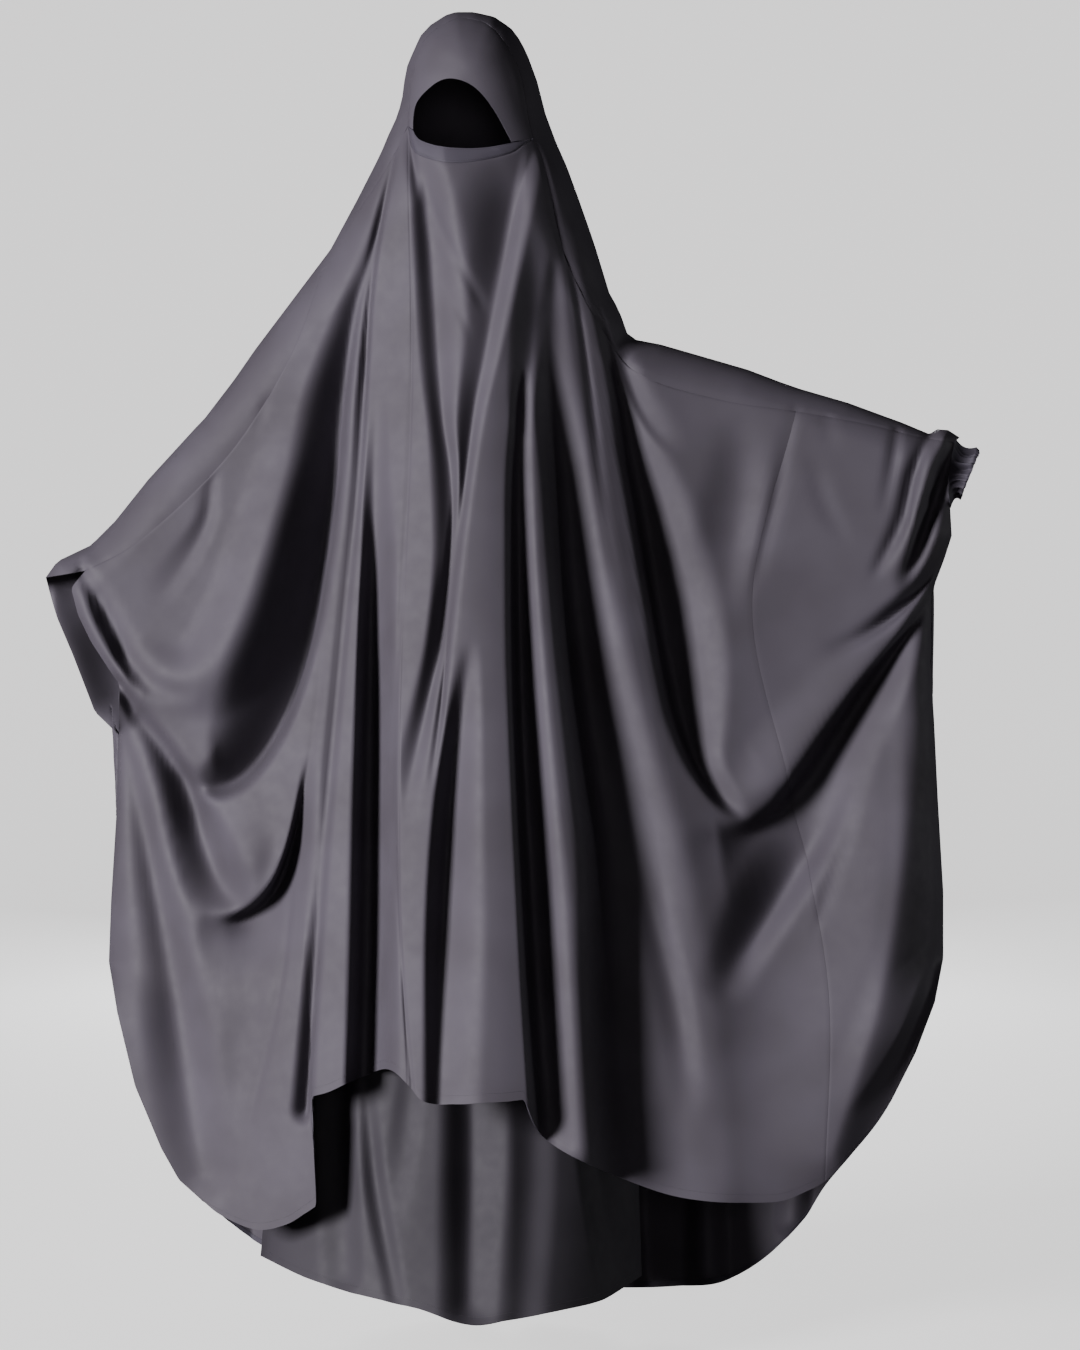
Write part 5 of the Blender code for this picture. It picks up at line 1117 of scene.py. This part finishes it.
def skirt_sheet(hem, folds, facing):
    """Grid of the skirt's front (facing -1) or back (facing 1) from waist to hem."""
    shares = np.linspace(0.0, 1.0, SKIRT_COLUMNS)
    across_share = 0.5 * (0.5 - 0.5 * np.cos(math.pi * shares) + shares)
    top_drop = SKIRT_SECTIONS[0][0]
    hem_at = np.interp(across_share, [point[0] for point in hem], np.arange(len(hem)))
    hem_drop = spline_at([[point[1]] for point in hem], hem_at)[:, 0]
    rows = row_places(SKIRT_ROWS, SKIRT_LENGTH)[:, None]
    drop = top_drop + (hem_drop[None] - top_drop) * rows
    left, right, front, back = columns_of(SKIRT_SECTIONS, drop)
    across = left + (right - left) * across_share[None]
    round_off = np.sqrt(np.maximum(0.0, 1 - (2 * across_share[None] - 1) ** 2))
    wander = 2 * uneven(across, drop * 0, 4.0, 5)
    gather = np.sin(2 * math.pi * WAIST_GATHERS * across_share[None] + wander)
    gather = GATHER_DEPTH * gather * np.clip(1 - (drop - top_drop) / GATHER_LENGTH, 0.0, 1.0)
    fold, push_across, push_drop = drawn_folds(folds, across, drop)
    fold = fold + SKIRT_UNEVEN * uneven(across, drop, SKIRT_UNEVEN_SIZE, 12 + facing)
    depth = facing * ((front if facing < 0 else back) - fold + gather) * round_off
    depth = np.maximum(depth, 0.0) if facing > 0 else np.minimum(depth, 0.0)
    return place(across + push_across * round_off, drop + push_drop * round_off, depth)


skirt_front_sheet = skirt_sheet(SKIRT_FRONT_HEM, SKIRT_FRONT_FOLDS, -1)
skirt_back_sheet = skirt_sheet(SKIRT_BACK_HEM, SKIRT_BACK_FOLDS, 1)
skirt_front = sheet_object("skirt_front_cloth", skirt_front_sheet, -1, skirt_crepe_painted_shade)
skirt_back = sheet_object("skirt_back_cloth", skirt_back_sheet, 1, skirt_crepe_painted_shade)
add_piece(skirt_front, "skirt_front")
add_piece(skirt_back, "skirt_back")
print("skirt sheets:", skirt_front_sheet.shape[:2], "points each")

# %% [markdown]
# Waistband casing
#
# A casing with elastic in it holds the skirt at the waist. It is hidden under the mantle and could be a
# simple ring, but it is cut from cloth as the rest is, so it is a closed sheet with fine shirring.

# %% Waistband casing
# centimetres; the gap keeps the casing just clear of the skirt's top edge
CASING_HEIGHT, CASING_GAP = 3.5, 0.02
SHIRRING_WAVES, SHIRRING = 58, 0.012

waist_top, waist_left, waist_right, waist_front, waist_back = SKIRT_SECTIONS[0]
waist_turns = np.linspace(0, 2 * math.pi, 241)
waist_rows = np.linspace(0.0, 1.0, 12)[:, None]
waist_across = (waist_left + waist_right) / 2 + (waist_right - waist_left) / 2 * np.cos(waist_turns)
waist_reach = np.where(np.sin(waist_turns) < 0, waist_front, waist_back) * np.sin(waist_turns)
shirring = 1 + SHIRRING * np.sin(SHIRRING_WAVES * waist_turns) * np.sin(math.pi * waist_rows)
waist_drop = waist_top - CASING_HEIGHT + (CASING_HEIGHT - CASING_GAP) * waist_rows + 0 * waist_turns
waist_sheet = place(waist_across * shirring, waist_drop, waist_reach * shirring)
waistband = sheet_object(
    "skirt_waistband_cloth", waist_sheet, -1, doubled_crepe, CASING_THICKNESS, closed=True)
add_piece(waistband, "skirt_waistband")
print("waistband:", waist_sheet.shape[:2], "points")

# %% [markdown]
# Hems and stitches
#
# Each free edge is turned in once and sewn down in a row of stitches, which sink a little into the soft
# cloth. The turned part is a strip on the inner side of the sheet's last rows. The stitches are single
# grains of thread, in the real length and step, laid along a row of the grid; a texture of dashes would
# not stand proud of the cloth.

# %% Turned hem
HEM_CLEARANCE = 0.0002


def shown_normals(points, outwards):
    """Unit normals of a grid of points, to the side that shows."""
    down, across = np.gradient(points, axis=0), np.gradient(points, axis=1)
    normal = np.cross(across, down)
    normal = normal / np.maximum(np.linalg.norm(normal, axis=-1, keepdims=True), 1e-12)
    return -normal if outwards * normal[..., 1].sum() < 0 else normal


def turned_hem(name, points, outwards, node):
    """The turned-in part of a hem, a strip that lies on the sheet's inner side along its last rows."""
    last = slice(-len(HEM_ROWS), None)
    strip = points[last] - shown_normals(points, outwards)[last] * (THICKNESS + HEM_CLEARANCE)
    hem = sheet_object(name, strip, outwards, doubled_crepe, HEM_THICKNESS)
    return add_piece(hem, node, replaces=False)


print("a hem is turned in by, cm:", HEM_ROWS[0])

# %% Stitches
# metres: length of a stitch, way from one to the next, and radius of the thread
STITCH, STITCH_STEP, THREAD = 0.0022, 0.0032, 0.00022
# one stitch: place along it and fatness of each ring, and how far the thread lies on top of the cloth
GRAIN_RINGS, GRAIN_SIDES, GRAIN_LIFT = ((-0.5, 0.0), (-0.36, 0.8), (0.36, 0.8), (0.5, 0.0)), 6, 0.3


def stitches(name, path, out, node):
    """A row of single stitches along a path of points, each a small closed grain of thread."""
    run = np.append(0.0, np.cumsum(np.linalg.norm(np.diff(path, axis=0), axis=1)))
    at = np.arange(STITCH_STEP, run[-1] - STITCH_STEP, STITCH_STEP)

    def along_row(values, shift=0.0):
        return np.stack([np.interp(at + shift, run, values[:, n]) for n in range(3)], -1)

    centre, up = along_row(path), along_row(out)
    ahead = along_row(path, shift=0.0005) - centre
    ahead /= np.linalg.norm(ahead, axis=1, keepdims=True)
    up /= np.linalg.norm(up, axis=1, keepdims=True)
    aside = np.cross(ahead, up)
    (start, _), *fat_rings, (end, _) = GRAIN_RINGS
    turns = np.arange(GRAIN_SIDES) * 2 * math.pi / GRAIN_SIDES
    corners = [(math.cos(turn), math.sin(turn)) for turn in turns]
    points, faces = [], []
    for n in range(len(at)):
        tip = len(points)
        first, second = tip + 1, tip + 1 + GRAIN_SIDES
        points.append(centre[n] + ahead[n] * STITCH * start)
        for along, fat in fat_rings:
            for side, lift in corners:
                points.append(centre[n] + ahead[n] * STITCH * along
                              + (aside[n] * side + up[n] * (lift + GRAIN_LIFT)) * THREAD * fat)
        points.append(centre[n] + ahead[n] * STITCH * end)
        for c in range(GRAIN_SIDES):
            d = (c + 1) % GRAIN_SIDES
            faces.append((tip, first + d, first + c))
            faces.append((first + c, first + d, second + d, second + c))
            faces.append((second + GRAIN_SIDES, second + c, second + d))
    mesh = bpy.data.meshes.new(name)
    mesh.from_pydata([tuple(point) for point in points], [], faces)
    mesh.shade_smooth()
    mesh.materials.append(sewing_thread)
    row = bpy.data.objects.new(name, mesh)
    bpy.context.scene.collection.objects.link(row)
    return add_piece(row, node, replaces=False)


def stitch_row(name, points, row, outwards, node):
    """Stitches along one row of a sheet's grid."""
    return stitches(name, points[row], shown_normals(points, outwards)[row], node)


print("stitches in ten centimetres:", round(0.1 / STITCH_STEP))

# %% Hems and stitch rows of every sheet
HEMMED = (
    ("front_panel_hem", panel_sheet, -1, "front_panel"), ("front_wing_hem", wing_sheet, -1, "front_wing"),
    ("back_hem", back_sheet, 1, "back_and_hood"), ("skirt_front_hem", skirt_front_sheet, -1, "skirt_front"),
    ("skirt_back_hem", skirt_back_sheet, 1, "skirt_back"),
)
for name, points, outwards, node in HEMMED:
    turned_hem(name, points, outwards, node)
for name, points, outwards, node in HEMMED:
    stitch_row(name + "_stitches", points, -len(HEM_ROWS), outwards, node)
stitch_row("band_upper_stitches", band_sheet, 2, -1, "face_band")
stitch_row("band_lower_stitches", band_sheet, -3, -1, "face_band")
stitch_row("arch_stitches", forehead_sheet, 2, -1, "forehead_piece")
print("pieces made:", len(made))

# %% [markdown]
# Flat cuts of the sheets
#
# Cloth can be hung but hardly stretched, so each sheet's surface has to agree with the flat piece it was
# cut to. The sizes are those of the cuts that show, and each sheet names what it lies or hangs on and the
# hems and stitches that are sewn to it.

# %% Flat cuts of the sheets
# each row: sheet, cut in metres, how it is held, what it rests on, and what is sewn to it
SHEETS = (
    ("front_panel_cloth", (1.15, 1.22), "draped", "back_and_hood_cloth",
     ("front_panel_hem", "front_panel_hem_stitches")),
    ("front_wing_cloth", (0.24, 0.98), "draped", "front_panel_cloth",
     ("front_wing_hem", "front_wing_hem_stitches")),
    ("back_and_hood_cloth", (1.42, 1.62), "draped", "front_panel_cloth", ("back_hem", "back_hem_stitches")),
    ("forehead_piece_cloth", (0.30, 0.085), "stretched", "back_and_hood_cloth", ("arch_stitches",)),
    ("face_band_cloth", (0.175, 0.02), "stretched", "front_panel_cloth",
     ("band_upper_stitches", "band_lower_stitches")),
    ("wrist_cuff_cloth", (0.28, 0.035), "gathered", "front_wing_cloth", ()),
    ("skirt_front_cloth", (0.66, 0.98), "gathered", "skirt_waistband_cloth",
     ("skirt_front_hem", "skirt_front_hem_stitches")),
    ("skirt_back_cloth", (0.66, 0.92), "gathered", "skirt_waistband_cloth",
     ("skirt_back_hem", "skirt_back_hem_stitches")),
    ("skirt_waistband_cloth", (0.90, 0.036), "gathered", "skirt_front_cloth", ()),
)
for name, flat, held, support, sewn_on in SHEETS:
    surface = sum(face.area for face in made[name].data.polygons) / 2
    print(f"{name}: {surface:.3f} square metres shown, cut {flat[0] * flat[1]:.3f}")

# %% [markdown]
# Backdrop
#
# The set stands before pale grey paper. A wide bowl of paper gives the same tone from every side. It
# glows softly and is hidden from diffuse light, so that it does not brighten the dark cloth.

# %% Paper of the backdrop
stage_paper, paper_shader, _ = new_material("pale studio paper")
paper_shader.inputs["Base Color"].default_value = (0.3, 0.3, 0.3, 1.0)
paper_shader.inputs["Roughness"].default_value = 0.9
paper_shader.inputs["Emission Color"].default_value = linear("#d9d8d8")
paper_shader.inputs["Emission Strength"].default_value = 1.6
print("paper tone:", [round(c, 3) for c in linear("#d9d8d8")[:3]])

# %% Backdrop
# metres: the bowl's size, the radius of its bend, and the floor under the hem
BOWL_RADIUS, BOWL_HEIGHT, BOWL_BEND, FLOOR = 7.5, 6.0, 2.5, -1.745

bpy.ops.mesh.primitive_cylinder_add(
    vertices=96, radius=BOWL_RADIUS, depth=BOWL_HEIGHT, end_fill_type="NGON", location=(0, 0, 0))
paper_bowl = bpy.context.object
paper_bowl.name = "pale paper floor and walls"
bowl = bmesh.new()
bowl.from_mesh(paper_bowl.data)
bmesh.ops.delete(bowl, geom=[face for face in bowl.faces if face.normal.z > 0.9], context="FACES")
rim_edges = [edge for edge in bowl.edges if all(vertex.co.z < 0 for vertex in edge.verts)]
bmesh.ops.bevel(bowl, geom=rim_edges, offset=BOWL_BEND, segments=12, profile=0.5, affect="EDGES")
bmesh.ops.reverse_faces(bowl, faces=bowl.faces[:])
for vertex in bowl.verts:
    vertex.co.z += BOWL_HEIGHT / 2 + FLOOR
bowl.to_mesh(paper_bowl.data)
bowl.free()
paper_bowl.data.shade_smooth()
paper_bowl.data.materials.append(stage_paper)
paper_bowl.visible_diffuse = paper_bowl.visible_glossy = False
bpy.ops.object.select_all(action="DESELECT")
print("stage floor at z =", round(min((v.co.z for v in paper_bowl.data.vertices)), 3))

# %% [markdown]
# Studio lights
#
# One large softbox from the left, a little above the waist, gives each fold its light left flank and its
# dark right one. Three weak ones keep the front's shadows, the back and the right side readable.

# %% Studio lights


def softbox(name, azimuth, elevation, distance, size, power, colour, aim=(0.05, 0.0, -0.85)):
    """An area light on a circle round the garment: azimuth 0 is in front, above zero to the right."""
    light = bpy.data.objects.new(name, bpy.data.lights.new(name, "AREA"))
    bpy.context.scene.collection.objects.link(light)
    turn, rise = math.radians(azimuth), math.radians(elevation)
    away = Vector((math.sin(turn) * math.cos(rise), -math.cos(turn) * math.cos(rise), math.sin(rise)))
    light.location = Vector(aim) + distance * away
    light.rotation_euler = (-away).to_track_quat("-Z", "Y").to_euler()
    light.data.shape = "RECTANGLE"
    light.data.size, light.data.size_y = size
    light.data.energy, light.data.color = power, colour


COOL, WARM = (0.97, 0.98, 1.0), (1.0, 0.96, 0.97)
softbox("key softbox", -48, 11, 6.8, (1.7, 2.2), 1250, (1.0, 0.985, 1.0), aim=(0.3, 0.0, -1.2))
softbox("front fill", 4, -2, 5.2, (1.2, 1.8), 34, WARM)
softbox("back fill", 181, 8, 5.5, (1.6, 2.0), 260, COOL)
softbox("right fill", 98, 6, 5.5, (1.6, 2.0), 55, COOL)
world = bpy.data.worlds.new("dim studio")
world.use_nodes = True
background = world.node_tree.nodes["Background"]
background.inputs["Color"].default_value = (0.62, 0.62, 0.64, 1.0)
background.inputs["Strength"].default_value = 0.02
bpy.context.scene.world = world
